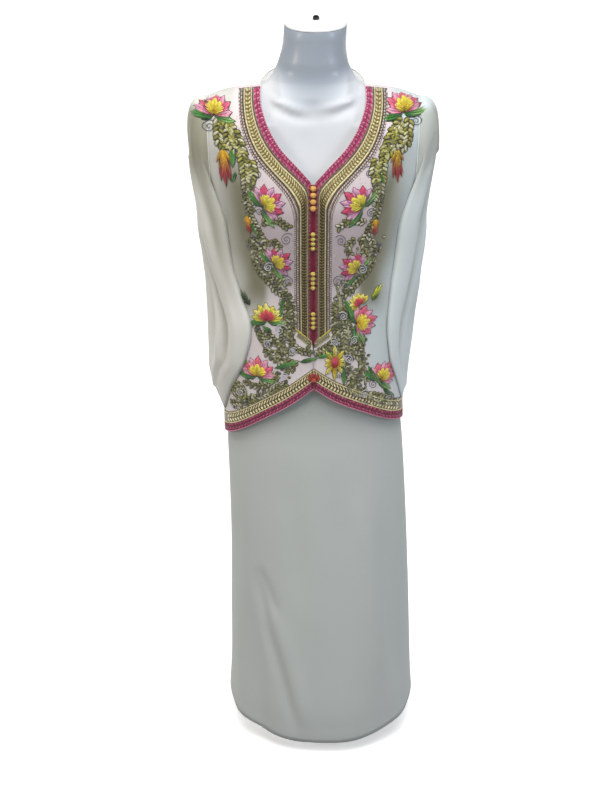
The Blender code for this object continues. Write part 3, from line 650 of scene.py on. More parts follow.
# Sockets of a Mix node that lays one colour over another
UNDER, OVER, MIXED = 6, 7, 2


def tinted_by_height(tree, place, tint, turns):
    """The tint, turned to each of the others between the two heights that stand before it."""
    height = add(tree, "ShaderNodeSeparateXYZ", {"Vector": place}).outputs["Z"]
    for first, last, other in turns:
        turned = add(
            tree, "ShaderNodeMapRange", {"Value": height, "From Min": first, "From Max": last},
            interpolation_type="SMOOTHSTEP",
        ).outputs["Result"]
        layers = {"Factor": turned, UNDER: tint, OVER: other}
        tint = add(tree, "ShaderNodeMix", layers, data_type="RGBA").outputs[MIXED]
    return tint


def wave_scale(pitch):
    """Scale of a wave pattern whose bands lie a pitch apart."""
    return 1 / (pitch * 20) * math.pi * 2


# Painted shade on the crepe: greyer just under the overlay's hem and towards the dress's own hem
CREPE_PAINTED_SHADE = ((0.71, 0.86, "#868f88"), (0.16, -0.06, "#9c9d9d"))


def make_crepe():
    """Viscose crepe, woven from tightly twisted yarn: matt, with a fine pebbled grain and soft sheen."""
    material, tree, shader, place = new_material("white_viscose_crepe")
    # Clouds of 11 cm
    cloudy = add(tree, "ShaderNodeTexNoise", {"Vector": place, "Scale": 9.0, "Detail": 2.0})
    # Real crepe grain is 0.5 mm; it is drawn at 1.6 mm so that it shows
    grain = add(tree, "ShaderNodeTexNoise", {"Vector": place, "Scale": 620.0, "Detail": 3.0})
    layers = {"Factor": cloudy.outputs["Fac"], UNDER: "#c1c5c0", OVER: "#cacdc9"}
    tint = add(tree, "ShaderNodeMix", layers, data_type="RGBA").outputs[MIXED]
    # Painted shade by height, under the overlay's hem and near the dress's hem
    tint = tinted_by_height(tree, place, tint, CREPE_PAINTED_SHADE)
    layers = {"Factor": grain.outputs["Fac"], UNDER: tint, OVER: "#b9bebb"}
    colour = add(tree, "ShaderNodeMix", layers, data_type="RGBA")
    bump = add(tree, "ShaderNodeBump", {"Height": grain.outputs["Fac"], "Strength": 0.35, "Distance": 0.0006})
    feed(tree, shader, {
        "Base Color": colour.outputs[MIXED], "Normal": bump.outputs["Normal"], "Roughness": 0.82,
        "Sheen Weight": 0.25, "Sheen Roughness": 0.5, "Specular IOR Level": 0.25,
    })
    return material


# Behind the neck the chiffon is a single layer with nothing under it: its mark, and where that grows
UNBACKED, NECK_SHEER = -1.5, (1.385, 1.415)
BACKED_ALPHA = 0.95
# The stitched backing looks greyer beside the placket, between the V and the lowest knots
BACKING_GREYS = ((1.275, 1.175, "#b3a6a8"), (1.09, 1.02, "#ddd3d3"))
# Chiffon has some 30 threads a centimetre; every fourth is drawn
CHIFFON_PITCH = 0.0013


def make_chiffon(name, alpha):
    """Polyester chiffon, plain woven from fine crepe yarn: sheer, and denser where it is backed.

    The mesh's dye marks hold the backing in red, painted olive shade in green and painted cool light on the
    right side in blue."""
    material, tree, shader, place = new_material(name)
    mark = add(tree, "ShaderNodeAttribute", {}, attribute_name="dye")
    marks = add(tree, "ShaderNodeSeparateColor", {"Color": mark.outputs["Color"]}).outputs
    # Clouds of 7 cm
    cloudy = add(tree, "ShaderNodeTexNoise", {"Vector": place, "Scale": 14.0, "Detail": 3.0})
    tint = "#e2e1d9"
    # Painted cool light (blue mark) and painted olive shade (green mark) laid over the chiffon's own tint
    for factor, other in (
        (cloudy.outputs["Fac"], "#ebeae3"), (marks["Blue"], "#e4ecec"), (marks["Green"], "#8f8c74"),
        (marks["Red"], tinted_by_height(tree, place, "#e8dadb", BACKING_GREYS)),
    ):
        tint = add(
            tree, "ShaderNodeMix", {"Factor": factor, UNDER: tint, OVER: other}, data_type="RGBA",
        ).outputs[MIXED]
    solid = add(tree, "ShaderNodeMapRange", {
        "Value": marks["Red"], "From Min": UNBACKED, "From Max": 1.0,
        "To Min": alpha + UNBACKED * (BACKED_ALPHA - alpha), "To Max": BACKED_ALPHA,
    })
    scale = wave_scale(CHIFFON_PITCH)
    threads = {"Vector": place, "Scale": scale, "Distortion": 0.6, "Detail": 1.0, "Detail Scale": 2.0}
    warp, weft = (
        add(tree, "ShaderNodeTexWave", threads, wave_type="BANDS", bands_direction=way).outputs["Fac"]
        for way in "XZ"
    )
    weave = add(tree, "ShaderNodeMath", {0: warp, 1: weft}, operation="MAXIMUM")
    bump = add(tree, "ShaderNodeBump", {"Height": weave.outputs[0], "Strength": 0.25, "Distance": 0.0003})
    feed(tree, shader, {
        "Base Color": tint, "Alpha": solid.outputs["Result"], "Normal": bump.outputs["Normal"],
        "Roughness": 0.55, "Sheen Weight": 0.2, "Sheen Roughness": 0.4, "Specular IOR Level": 0.35,
    })
    return material


def make_thread(name, metallic, roughness, pitch):
    """Stitched thread: its dye lies in the mesh, and twisted strands catch the light along each stitch."""
    material, tree, shader, place = new_material(name)
    dye = add(tree, "ShaderNodeAttribute", {}, attribute_name="dye")
    twist = {"Vector": place, "Scale": wave_scale(pitch), "Distortion": 2.0, "Detail": 2.0}
    strands = add(tree, "ShaderNodeTexWave", twist, wave_type="BANDS", bands_direction="DIAGONAL")
    # Wear in patches of 4 mm
    worn = add(tree, "ShaderNodeTexNoise", {"Vector": place, "Scale": 260.0, "Detail": 2.0})
    shade = add(tree, "ShaderNodeMapRange", {
        "Value": worn.outputs["Fac"], "From Min": 0.3, "From Max": 0.7, "To Min": 0.72, "To Max": 1.12,
    })
    shaded = {0: dye.outputs["Color"], "Scale": shade.outputs["Result"]}
    colour = add(tree, "ShaderNodeVectorMath", shaded, operation="SCALE")
    raised = {"Height": strands.outputs["Fac"], "Strength": 0.5, "Distance": 0.0004}
    bump = add(tree, "ShaderNodeBump", raised)
    feed(tree, shader, {
        "Base Color": colour.outputs[0], "Normal": bump.outputs["Normal"], "Metallic": metallic,
        "Roughness": roughness, "Sheen Weight": 0.15,
    })
    return material


# Heights between which the form's lacquer turns to the painted shade of its neck
NECK_SHADE_FROM, NECK_SHADE_TO = 1.345, 1.428
# How far that line rises towards the neck's sides, per square metre
NECK_SHADE_BOW = 10.0


def make_plastic(name, neck):
    """Fibreglass display form, moulded and sprayed with gloss lacquer: smooth, bright highlights. neck is
    painted shade on the torso and painted light on the cap.
    """
    material, tree, shader, place = new_material(name)
    # Clouds of 20 cm
    cloudy = add(tree, "ShaderNodeTexNoise", {"Vector": place, "Scale": 5.0, "Detail": 2.0})
    parts = add(tree, "ShaderNodeSeparateXYZ", {"Vector": place})
    aside = add(tree, "ShaderNodeMath", {0: parts.outputs["X"], 1: parts.outputs["X"]}, operation="MULTIPLY")
    bowed = {0: aside.outputs[0], 1: -NECK_SHADE_BOW, 2: parts.outputs["Z"]}
    level = add(tree, "ShaderNodeMath", bowed, operation="MULTIPLY_ADD")
    above = add(
        tree, "ShaderNodeMapRange", {"Value": level.outputs[0], "From Min": NECK_SHADE_FROM, "From Max": NECK_SHADE_TO},
        interpolation_type="SMOOTHSTEP",
    )
    # Painted shade on the neck, above a line that bows up to its sides; on the cap this colour is painted
    # light all over
    tint = "#d9dce0"
    for factor, other in ((cloudy.outputs["Fac"], "#e1e4e7"), (above.outputs["Result"], neck)):
        tint = add(
            tree, "ShaderNodeMix", {"Factor": factor, UNDER: tint, OVER: other}, data_type="RGBA",
        ).outputs[MIXED]
    # Lacquer shows orange peel of about 6 mm
    peel = add(tree, "ShaderNodeTexNoise", {"Vector": place, "Scale": 160.0, "Detail": 1.0})
    bump = add(tree, "ShaderNodeBump", {"Height": peel.outputs["Fac"], "Strength": 0.06, "Distance": 0.0006})
    feed(tree, shader, {
        "Base Color": tint, "Normal": bump.outputs["Normal"], "Roughness": 0.36, "IOR": 1.5,
        "Coat Weight": 0.22, "Coat Roughness": 0.16,
    })
    return material


def make_steel(name, dark, light, roughness):
    """Turned steel: fine rings from the lathe under its plating."""
    material, tree, shader, place = new_material(name)
    rings = {"Vector": place, "Scale": 90.0, "Distortion": 3.0, "Detail": 3.0}
    lines = add(tree, "ShaderNodeTexWave", rings, wave_type="RINGS", rings_direction="Z")
    layers = {"Factor": lines.outputs["Fac"], UNDER: dark, OVER: light}
    colour = add(tree, "ShaderNodeMix", layers, data_type="RGBA")
    bump = add(tree, "ShaderNodeBump", {"Height": lines.outputs["Fac"], "Strength": 0.08, "Distance": 0.0003})
    feed(tree, shader, {
        "Base Color": colour.outputs[MIXED], "Normal": bump.outputs["Normal"], "Metallic": 1.0,
        "Roughness": roughness,
    })
    return material


# How far the floor and the cloth round it are lit from behind, as a light table is
FLOOR_GLOW, BACKDROP_GLOW = 0.45, 1.0


def make_floor_finish(name, glow):
    """Matt white surface of a photographer's light table, lit from behind."""
    material, tree, shader, place = new_material(name)
    cloudy = add(tree, "ShaderNodeTexNoise", {"Vector": place, "Scale": 3.0, "Detail": 3.0})
    layers = {"Factor": cloudy.outputs["Fac"], UNDER: "#f7f7f6", OVER: "#fafaf9"}
    colour = add(tree, "ShaderNodeMix", layers, data_type="RGBA")
    feed(tree, shader, {
        "Base Color": colour.outputs[MIXED], "Roughness": 0.9, "Specular IOR Level": 0.1,
        "Emission Color": "#ffffff", "Emission Strength": glow,
    })
    return material


CREPE = make_crepe()
CHIFFON = make_chiffon("white_polyester_chiffon", 0.66)
SLEEVE_CHIFFON = make_chiffon("white_polyester_chiffon_sleeve", 0.86)
ROLLED_CHIFFON = make_chiffon("white_polyester_chiffon_rolled", 0.96)
SILK = make_thread("viscose_embroidery_thread", 0.0, 0.40, 0.0009)
GILT = make_thread("gilt_metallic_braid", 0.35, 0.42, 0.0011)
COTTON = make_thread("crocheted_cotton_edging", 0.0, 0.62, 0.0010)
# The torso's lacquer, with painted shade on its neck
LACQUER = make_plastic("white_gloss_lacquer", "#99a1ab")
# The cap's lacquer is painted light: near-white all over, brighter than the torso's
LIT_CAP_LACQUER = make_plastic("white_gloss_lacquer_cap", "#fbfbfc")
STEEL = make_steel("brushed_chromed_steel", "#b9bcc1", "#cfd1d4", 0.28)
BLACKED_STEEL = make_steel("blackened_steel_screw", "#3a3c40", "#4c4e52", 0.55)

# Lines along the cloth's edges and seams, kept as each piece is made, for the hems
EDGES = {}
# The sleeves' cloth, kept as it is made, for the stitching that runs over the armhole
SLEEVE_CLOTH = {}

Crease = namedtuple("Crease", "a_top b_top a_low b_low width depth")


def creased(table, a, b):
    """How far soft troughs and ridges, drawn as tapering lines on a plane, move the cloth."""
    push = np.zeros(np.broadcast(a, b).shape)
    for c in table:
        run = np.array([c.a_low - c.a_top, c.b_low - c.b_top])
        length = np.linalg.norm(run)
        along = ((a - c.a_top) * run[0] + (b - c.b_top) * run[1]) / length**2
        off = ((a - c.a_top) * run[1] - (b - c.b_top) * run[0]) / length
        beyond = np.maximum(0, np.maximum(-along, along - 1)) * length
        fade = ease(-0.05, 0.3, along) * (1 - ease(0.7, 1.05, along))
        push += c.depth * fade * np.exp(-((off / c.width) ** 2)) * (beyond < length)
    return push


# The form: its collar bones, the hollow between them and the line down its chest, on (x, height)
FORM_RELIEF = [
    Crease(-0.080, 1.402, -0.016, 1.374, 0.0070, 0.0050),
    Crease(-0.078, 1.390, -0.014, 1.360, 0.0085, -0.0046),
    Crease(0.084, 1.402, 0.012, 1.380, 0.0070, 0.0044),
    Crease(0.082, 1.390, 0.022, 1.366, 0.0085, -0.0040),
    Crease(-0.002, 1.400, -0.002, 1.355, 0.0110, -0.0035),
    Crease(-0.020, 1.352, -0.004, 1.280, 0.0045, -0.0020),
]
FORM_SIDES = 120


def form_section(height):
    """Points round the form at this height."""
    angle = np.linspace(0, 2 * math.pi, FORM_SIDES, endpoint=False)
    half_width = by_height(FORM_ROWS, "half_width", height)
    foot = FORM_SHOULDER[-1].height
    reach = min(half_width, by_height(FORM_SHOULDER, "out", height)) if height > foot else half_width
    out = reach * np.abs(np.cos(angle)) ** (2 / SQUARENESS)
    way = np.where(np.sin(angle) < 0, -1, 1)
    deep = table_depth(FORM_ROWS, way, height)
    deep = deep * (1 - np.minimum(1.0, out / half_width) ** SQUARENESS) ** (1 / SQUARENESS)
    if height > foot:
        drop = np.clip((by_out(FORM_SHOULDER, out) - height) / SHOULDER_ROUND, 0, 1)
        arch = np.sqrt(1 - (1 - drop) ** 2)
        neck = ease(NECK_CLEAR[0] - 0.016, NECK_CLEAR[0] + NECK_CLEAR[1] + 0.008, height)
        deep = deep * (arch + (1 - arch) * neck)
    x = by_height(FORM_ROWS, "centre", height) + out * np.sign(np.cos(angle))
    x[[FORM_SIDES // 4, 3 * FORM_SIDES // 4]] = by_height(FORM_ROWS, "centre", height)
    deep[[0, FORM_SIDES // 2]] = 0
    front = np.where(way < 0, creased(FORM_RELIEF, x, np.full_like(x, height)), 0)
    return np.stack([x, way * deep - front, np.full_like(x, height)], 1)


def tilted(points):
    """Points of the neck's top, moved onto its plane, which rises to the back."""
    points = points.copy()
    points[:, 2] = NECK_TOP_FRONT + (points[:, 1] + NECK_FRONT) * math.tan(NECK_TILT)
    return points


def lofted(name, rings, material):
    """A closed solid through rings of equal count."""
    return make_object(name, np.vstack(rings), closed_faces(len(rings), len(rings[0])), material)


# Heights of the torso's rings, closer together over the shoulders: first, last and how many
FORM_SPANS = ((FORM_BASE, 1.30, 56), (1.306, 1.39, 24), (1.3920, 1.43, 48), (1.434, 1.494, 16))
# Rounded edges, as (scale of the outline, height above the foot)
FORM_FOOT = ((0.955, 0.0), (0.985, 0.0015))
CAP_RINGS = (
    (0.985, 0.0), (1.0, 0.0008), (1.0, 0.0034), (0.985, 0.0050), (0.955, CAP_THICK),
    (0.50, CAP_THICK + 0.0006),
)
NECK_EASE, NECK_INSET = 0.0012, 0.985
# Turned profiles, as (radius, height above the foot)
KNOB = (
    (0.0056, 0.0), (0.0060, 0.0006), (0.0060, 0.0030), (0.0054, 0.0046), (0.0040, 0.0060), (0.0020, 0.0068),
    (0.0005, 0.0070),
)
POLE = ((0.0152, 0.0), (0.016, 0.001), (0.016, 0.30), (0.0160, 0.7510))
POLE_TOP_RADIUS = 0.0152
BASE = ((0.1375, 0.0), (0.140, 0.0015), (0.140, 0.0080), (0.1380, 0.0105), (0.1330, 0.0120), (0.0300, 0.0120))


def make_form():
    """The glossy torso, its cap and knob, and the stand under the skirt."""
    heights = np.concatenate([np.linspace(*run) for run in FORM_SPANS])
    base = form_section(FORM_BASE)
    rings = [base * [s, s, 0] + [0, 0, FORM_BASE + up] for s, up in FORM_FOOT]
    rings += [form_section(h) for h in heights[1:]]
    top = tilted(form_section(NECK_TOP))
    rings += [top - [0, 0, NECK_EASE], shrunk(top, NECK_INSET)]
    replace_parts(lofted("torso", rings, LACQUER), "form_torso")
    cap = [shrunk(top, s) + [0, 0, SEAM + up] for s, up in CAP_RINGS]
    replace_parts(lofted("cap", cap, LIT_CAP_LACQUER), "neck_cap")
    low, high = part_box("cap_knob")
    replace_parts(turned("knob", (low + high) / 2, low.z, KNOB, 32, BLACKED_STEEL), "cap_knob")
    low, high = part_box("stand_pole")
    pole = (*POLE, (POLE_TOP_RADIUS, high.z - low.z))
    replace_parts(turned("pole", Vector(), low.z, pole, 48, STEEL), "stand_pole")
    low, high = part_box("stand_base")
    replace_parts(turned("foot", Vector(), low.z, BASE, 96, STEEL), "stand_base")


def shrunk(ring, scale):
    """A ring drawn in towards its own middle."""
    middle = ring.mean(axis=0)
    return middle + (ring - middle) * scale


def turned(name, middle, low, profile, sides, finish):
    """A lathe-turned steel piece from (radius, height above its foot) pairs."""
    angle = np.linspace(0, 2 * math.pi, sides, endpoint=False)
    rings = [
        np.column_stack([middle.x + r * np.cos(angle), middle.y + r * np.sin(angle), np.full(sides, low + h)])
        for r, h in profile
    ]
    return lofted(name, rings, finish)


# Creases of the skirt's front on (x, height): the photograph's slanting ones at the lower left
SKIRT_CREASES = {
    "front": [
        Crease(-0.128, 0.450, -0.088, 0.330, 0.009, -0.0040),
        Crease(-0.134, 0.440, -0.104, 0.240, 0.010, -0.0055),
        Crease(-0.114, 0.310, -0.052, 0.045, 0.012, -0.0065),
        Crease(-0.095, 0.360, -0.030, 0.040, 0.018, 0.0055),
        Crease(-0.150, 0.720, -0.152, 0.280, 0.018, 0.0045),
        Crease(-0.060, 0.700, -0.040, 0.360, 0.020, -0.0028),
        Crease(0.035, 0.720, 0.055, 0.120, 0.024, -0.0032),
        Crease(0.085, 0.660, 0.128, 0.100, 0.022, 0.0048),
        Crease(0.122, 0.600, 0.172, 0.060, 0.015, -0.0050),
    ],
    "back": [
        Crease(-0.120, 0.700, -0.160, 0.060, 0.014, 0.0055),
        Crease(-0.070, 0.820, -0.112, 0.040, 0.015, -0.0080),
        Crease(-0.024, 0.640, -0.040, 0.050, 0.018, 0.0075),
        Crease(0.026, 0.760, 0.030, 0.100, 0.014, -0.0065),
        Crease(0.072, 0.560, 0.090, 0.040, 0.016, 0.0065),
        Crease(0.098, 0.800, 0.134, 0.050, 0.013, -0.0070),
    ],
}
HEM_BAND = 0.026
HEM_RISE, HEM_RISE_POWER = 0.044, 2.6
DRESS_CELLS = (26, 120, 46)


def skirt_hem(out):
    """Height of the dress's hem, which rises at the side seams."""
    return DRESS_HEM + HEM_RISE * np.clip(out / DRESS_ROWS[-1].half_width, 0, 1) ** HEM_RISE_POWER


def dress_neck(upper, lower):
    """Neckline of the dress, under the overlay's trim, then its centre line."""
    top = by_out(SHOULDER_LINE, DRESS_NECK_SIDE) - DRESS_DROP
    if lower == 0:
        return DRESS_NECK_SIDE * (1 - upper**DRESS_NECK_POWER), top + (DRESS_V - top) * upper
    return 0.0, DRESS_V + (DRESS_HEM - DRESS_V) * lower


def dress_side(upper, lower):
    """Armhole of the dress, then its side seam."""
    top = by_out(SHOULDER_LINE, DRESS_TIP) - DRESS_DROP
    if lower == 0:
        foot = by_height(DRESS_ROWS, "half_width", DRESS_UNDERARM)
        return DRESS_TIP + (foot - DRESS_TIP) * upper, top + (DRESS_UNDERARM - top) * upper
    height = DRESS_UNDERARM + (DRESS_HEM + HEM_RISE - DRESS_UNDERARM) * lower
    return by_height(DRESS_ROWS, "half_width", height), height


def on_skirt(way, side, out, height, lift=0.0):
    """Points of the dress with its soft folds, its creases and its turned-up hem."""
    points = laid(DRESS, way, side, out, height, np.zeros_like(out) + lift)
    turn = side * turn_of(DRESS, out, height)
    name = "front" if way < 0 else "back"
    push = np.zeros_like(out)
    for fold in SKIRT_FOLDS[name]:
        fade = np.clip(1 - (height - DRESS_HEM) / (fold.top - DRESS_HEM), 0, 1)
        place = fold.turn + fold.drift * (1 - fade)
        push += fold.depth * fade * np.exp(-(((turn - place) / fold.width) ** 2))
    push += creased(SKIRT_CREASES[name], side * out, height)
    above = height - skirt_hem(out)
    band = 1 - ease(HEM_BAND - 0.002, HEM_BAND, above)
    groove = np.exp(-(((above - HEM_BAND) / 0.0016) ** 2))
    deeper = 1 + 1.5 * ease(0.02, 0.12, side * out)
    push += 0.0008 * band - 0.0009 * deeper * groove
    push = push * np.sqrt(np.clip(np.cos(turn), 0, 1))
    away = np.stack([np.sin(turn), way * np.cos(turn), np.zeros_like(turn)], -1)
    return points + away * push[..., None]


def make_dress():
    """Front and back of the long crepe dress."""
    for way, name in ((-1, "front"), (1, "back")):
        shoulder = shoulder_of(DRESS, way)
        outs, heights = half_panel(DRESS, DRESS_CELLS, dress_neck, dress_side, shoulder, skirt_hem)
        points = np.vstack([on_skirt(way, side, outs, heights).reshape(-1, 3) for side, _ in SIDES])
        faces = []
        for start, kept in ((0, way < 0), (outs.size, way > 0)):
            for face in wall_faces(*outs.shape, False):
                face = tuple(start + k for k in face)
                faces.append(face if kept else face[::-1])
        piece = make_object(f"crepe_dress_{name}", points, faces, CREPE, closed=False)
        join = bmesh.new()
        join.from_mesh(piece.data)
        bmesh.ops.remove_doubles(join, verts=join.verts, dist=1e-5)
        join.to_mesh(piece.data)
        join.free()
        piece.data.shade_smooth()
        thicken(piece, CLOTH)
        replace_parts(piece, f"dress_{name}")
        for side, side_name in SIDES:
            EDGES[f"dress_side_{side_name}_{name}"] = on_skirt(way, side, outs, heights)[DRESS_CELLS[0]:, -1]
        EDGES[f"dress_hem_{name}"] = np.vstack([
            on_skirt(way, -1, outs[-1][::-1], skirt_hem(outs[-1][::-1]) + HEM_BAND, CLOTH / 2),
            on_skirt(way, 1, outs[-1][1:], skirt_hem(outs[-1][1:]) + HEM_BAND, CLOTH / 2),
        ])


# Where the overlay is backed for stitching, as the distance out at each height
BACKING_ABOVE = [
    Edge(1.420, 0.146), Edge(1.360, 0.150), Edge(1.320, 0.140), Edge(1.270, 0.120), Edge(1.200, 0.112),
    Edge(1.130, 0.104), Edge(1.060, 0.086), Edge(1.010, 0.092),
]
BACKING = {
    "left": [*BACKING_ABOVE, Edge(0.960, 0.120), Edge(0.900, 0.140), Edge(0.840, 0.165), Edge(0.700, 0.190)],
    "right": [
        *BACKING_ABOVE, Edge(0.960, 0.098), Edge(0.900, 0.112), Edge(0.860, 0.140), Edge(0.840, 0.160),
        Edge(0.700, 0.190),
    ],
}
# Creases of the overlay's body, on (x, height)
OVERLAY_CREASES = {
    "front": [
        Crease(-0.165, 1.290, -0.135, 1.090, 0.010, 0.0008),
        Crease(-0.150, 1.250, -0.120, 1.040, 0.012, -0.0022),
        Crease(0.160, 1.290, 0.138, 1.080, 0.010, 0.0008),
        Crease(0.175, 1.330, 0.118, 1.150, 0.012, -0.0030),
        Crease(-0.128, 0.980, -0.150, 0.820, 0.014, -0.0015),
        Crease(0.140, 1.020, 0.158, 0.830, 0.014, -0.0015),
    ],
    "back": [
        Crease(-0.132, 1.350, -0.150, 0.860, 0.013, -0.0080),
        Crease(-0.092, 1.300, -0.088, 0.760, 0.015, 0.0075),
        Crease(-0.062, 1.220, -0.055, 0.780, 0.011, -0.0060),
        Crease(-0.016, 1.330, -0.030, 0.860, 0.017, -0.0055),
        Crease(0.012, 1.180, 0.008, 0.740, 0.013, 0.0070),
        Crease(0.052, 1.290, 0.062, 0.760, 0.012, -0.0070),
        Crease(0.090, 1.240, 0.100, 0.770, 0.014, 0.0065),
        Crease(0.128, 1.340, 0.142, 0.820, 0.012, -0.0060),
    ],
}
OVERLAY_CELLS = (40, 60, 46)
BACK_CELLS = (40, 60, 40)


def on_overlay(way, side, out, height, lift=0.0):
    """Points of the overlay with its creases, lifted along the cloth's normal."""
    relief = creased(OVERLAY_CREASES["front" if way < 0 else "back"], side * out, height)
    return laid(OVERLAY, way, side, out, height, relief + lift)


# How far under the ridge stitching starts to be drawn in
RIDGE_SOFT = 0.014
# How far off the cloth the sleeve is looked for, and the height above which stitching lies on the sleeve
REACH, SLEEVE_OVER = 0.03, 1.25


def below_ridge(out, height):
    """Heights drawn in so that they come near the shoulder's ridge but never over it."""
    start = by_out(SHOULDER_LINE, out) - RIDGE_SOFT
    return np.where(height > start, start + RIDGE_SOFT * (1 - np.exp((start - height) / RIDGE_SOFT)), height)


def front_plane(x, z, lift):
    """The overlay's front as seen from before it: points at (x, z), off the cloth or the sleeve on it."""
    x = x - by_height(OVERLAY_ROWS, "centre", z)
    side, out = np.where(x < 0, -1, 1), np.abs(x)
    z = below_ridge(out, z)
    cloth = on_overlay(-1, side, out, z, np.full_like(x, CLOTH / 2))
    points = on_overlay(-1, side, out, z, CLOTH / 2 + lift)
    foot = by_height(OVERLAY_ROWS, "half_width", UNDERARM)
    seam = SHOULDER_TIP + (foot - SHOULDER_TIP) * ease(1.40, 1.10, z)
    ways = on_overlay(-1, side, out, z, np.full_like(x, REACH)) - cloth
    for i in np.flatnonzero((out > seam - 0.002) & (z > SLEEVE_OVER)):
        away = ways[i] / np.linalg.norm(ways[i])
        start = Vector(cloth[i] + REACH * away)
        hit = SLEEVE_CLOTH["left" if side[i] < 0 else "right"].ray_cast(start, Vector(-away), REACH)[0]
        if hit is not None:
            points[i] = np.array(hit) + away * (CLOTH / 2 + lift[i])
    return points


def make_overlay():
    """Sheer front halves and back."""
    for side, name in SIDES:
        hem = HEM[name]
        outs, heights = half_panel(
            OVERLAY, OVERLAY_CELLS, front_edge, side_edge(hem[-1].height), shoulder_of(OVERLAY, -1),
            lambda out, hem=hem: by_out(hem, out),
        )
        edge = by_height(BACKING[name], "out", heights)
        backed = 1 - ease(edge - 0.012, edge + 0.008, outs)
        # Painted olive shade on the cloth beside the backing, from the hips up to the chest
        shaded = (
            (1 - backed) * (1 - ease(edge + 0.02, edge + 0.07, outs))
            * ease(0.98, 1.06, heights) * (1 - ease(1.24, 1.33, heights))
        )
        # Blue marks the right half for its painted cool light
        marks = np.stack([backed, shaded, 0 * backed + (side > 0)], -1)
        grid = on_overlay(-1, side, outs, heights)
        order = slice(None) if side > 0 else slice(None, None, -1)
        grid, marks = grid[:, order], marks[:, order]
        piece = shell(f"chiffon_front_{name}", grid, CHIFFON, CHIFFON_THICK, marks)
        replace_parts(piece, f"overlay_front_{name}")
    halves = []
    for side, name in SIDES:
        corner = HEM[name][-1].height
        middle = (HEM["left"][-1].height + HEM["right"][-1].height) / 2

        def centre_back(upper, lower):
            top = shoulder_of(OVERLAY, 1)(0.0)
            if lower == 0:
                return 0.0, top + (UNDERARM - top) * upper
            return 0.0, UNDERARM + (middle - UNDERARM) * lower

        outs, heights = half_panel(
            OVERLAY, BACK_CELLS, centre_back, side_edge(corner), shoulder_of(OVERLAY, 1),
            lambda out, corner=corner: middle + (corner - middle) * (out / HEM["left"][-1].out) ** 2,
        )
        grid = on_overlay(1, side, outs, heights)
        halves.append(grid[:, :0:-1] if side < 0 else grid)
    whole = np.concatenate(halves, axis=1)[:, ::-1]
    marks = np.zeros_like(whole)
    beside = ease(NECK_SIDE, NECK_SIDE + 0.03, np.abs(whole[:, :, 0]))
    marks[:, :, 0] = UNBACKED * ease(*NECK_SHEER, whole[:, :, 2]) * (1 - beside)
    piece = shell("chiffon_back", whole, CHIFFON, CHIFFON_THICK, marks)
    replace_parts(piece, "overlay_back")
    EDGES["back_hem"] = whole[-1]
    out = np.abs(whole[0][:, 0])
    EDGES["back_neck"] = whole[0][out <= NECK_SIDE + 0.001]
    EDGES["shoulder_left"] = whole[0][(out >= NECK_SIDE - 0.003) & (whole[0][:, 0] < 0)]
    EDGES["shoulder_right"] = whole[0][(out >= NECK_SIDE - 0.003) & (whole[0][:, 0] > 0)]


SLEEVE_AROUND = 64
SLEEVE_HEAD = 26
CREASE_DEEPENS = 1.35
SLEEVE_FALL = 70
# Creases of the hanging sleeves, on (share of the way from the outer middle to the front edge, height)
SLEEVE_CREASES = {
    "left": [
        Crease(0.10, 1.350, 0.86, 1.060, 0.075, 0.0050),
        Crease(0.34, 1.330, 0.97, 1.100, 0.065, -0.0040),
        Crease(0.32, 1.130, 0.72, 0.870, 0.055, -0.0065),
        Crease(0.15, 1.220, 0.58, 0.850, 0.060, 0.0050),
        Crease(0.02, 1.240, 0.42, 0.900, 0.055, -0.0040),
        Crease(-0.14, 1.300, 0.24, 0.940, 0.075, 0.0030),
        Crease(0.74, 1.010, 0.90, 0.860, 0.055, 0.0035),
        Crease(0.44, 0.960, 0.66, 0.800, 0.040, 0.0030),
        Crease(-0.50, 1.300, -0.20, 0.850, 0.080, 0.0050),
        Crease(-0.30, 1.250, -0.65, 0.820, 0.070, -0.0060),
        Crease(-0.75, 1.180, -0.45, 0.860, 0.060, 0.0040),
    ],
    "right": [
        Crease(0.05, 1.355, 0.70, 1.130, 0.080, -0.0055),
        Crease(0.28, 1.360, 0.92, 1.180, 0.070, 0.0040),
        Crease(0.52, 1.120, 0.78, 0.880, 0.060, -0.0045),
        Crease(0.24, 1.180, 0.52, 0.860, 0.070, 0.0045),
        Crease(-0.02, 1.260, 0.30, 0.930, 0.060, -0.0030),
        Crease(0.34, 0.990, 0.50, 0.900, 0.060, -0.0040),
        Crease(-0.45, 1.300, -0.25, 0.850, 0.080, 0.0050),
        Crease(-0.25, 1.250, -0.60, 0.830, 0.070, -0.0060),
        Crease(-0.72, 1.150, -0.50, 0.870, 0.060, 0.0040),
    ],
}


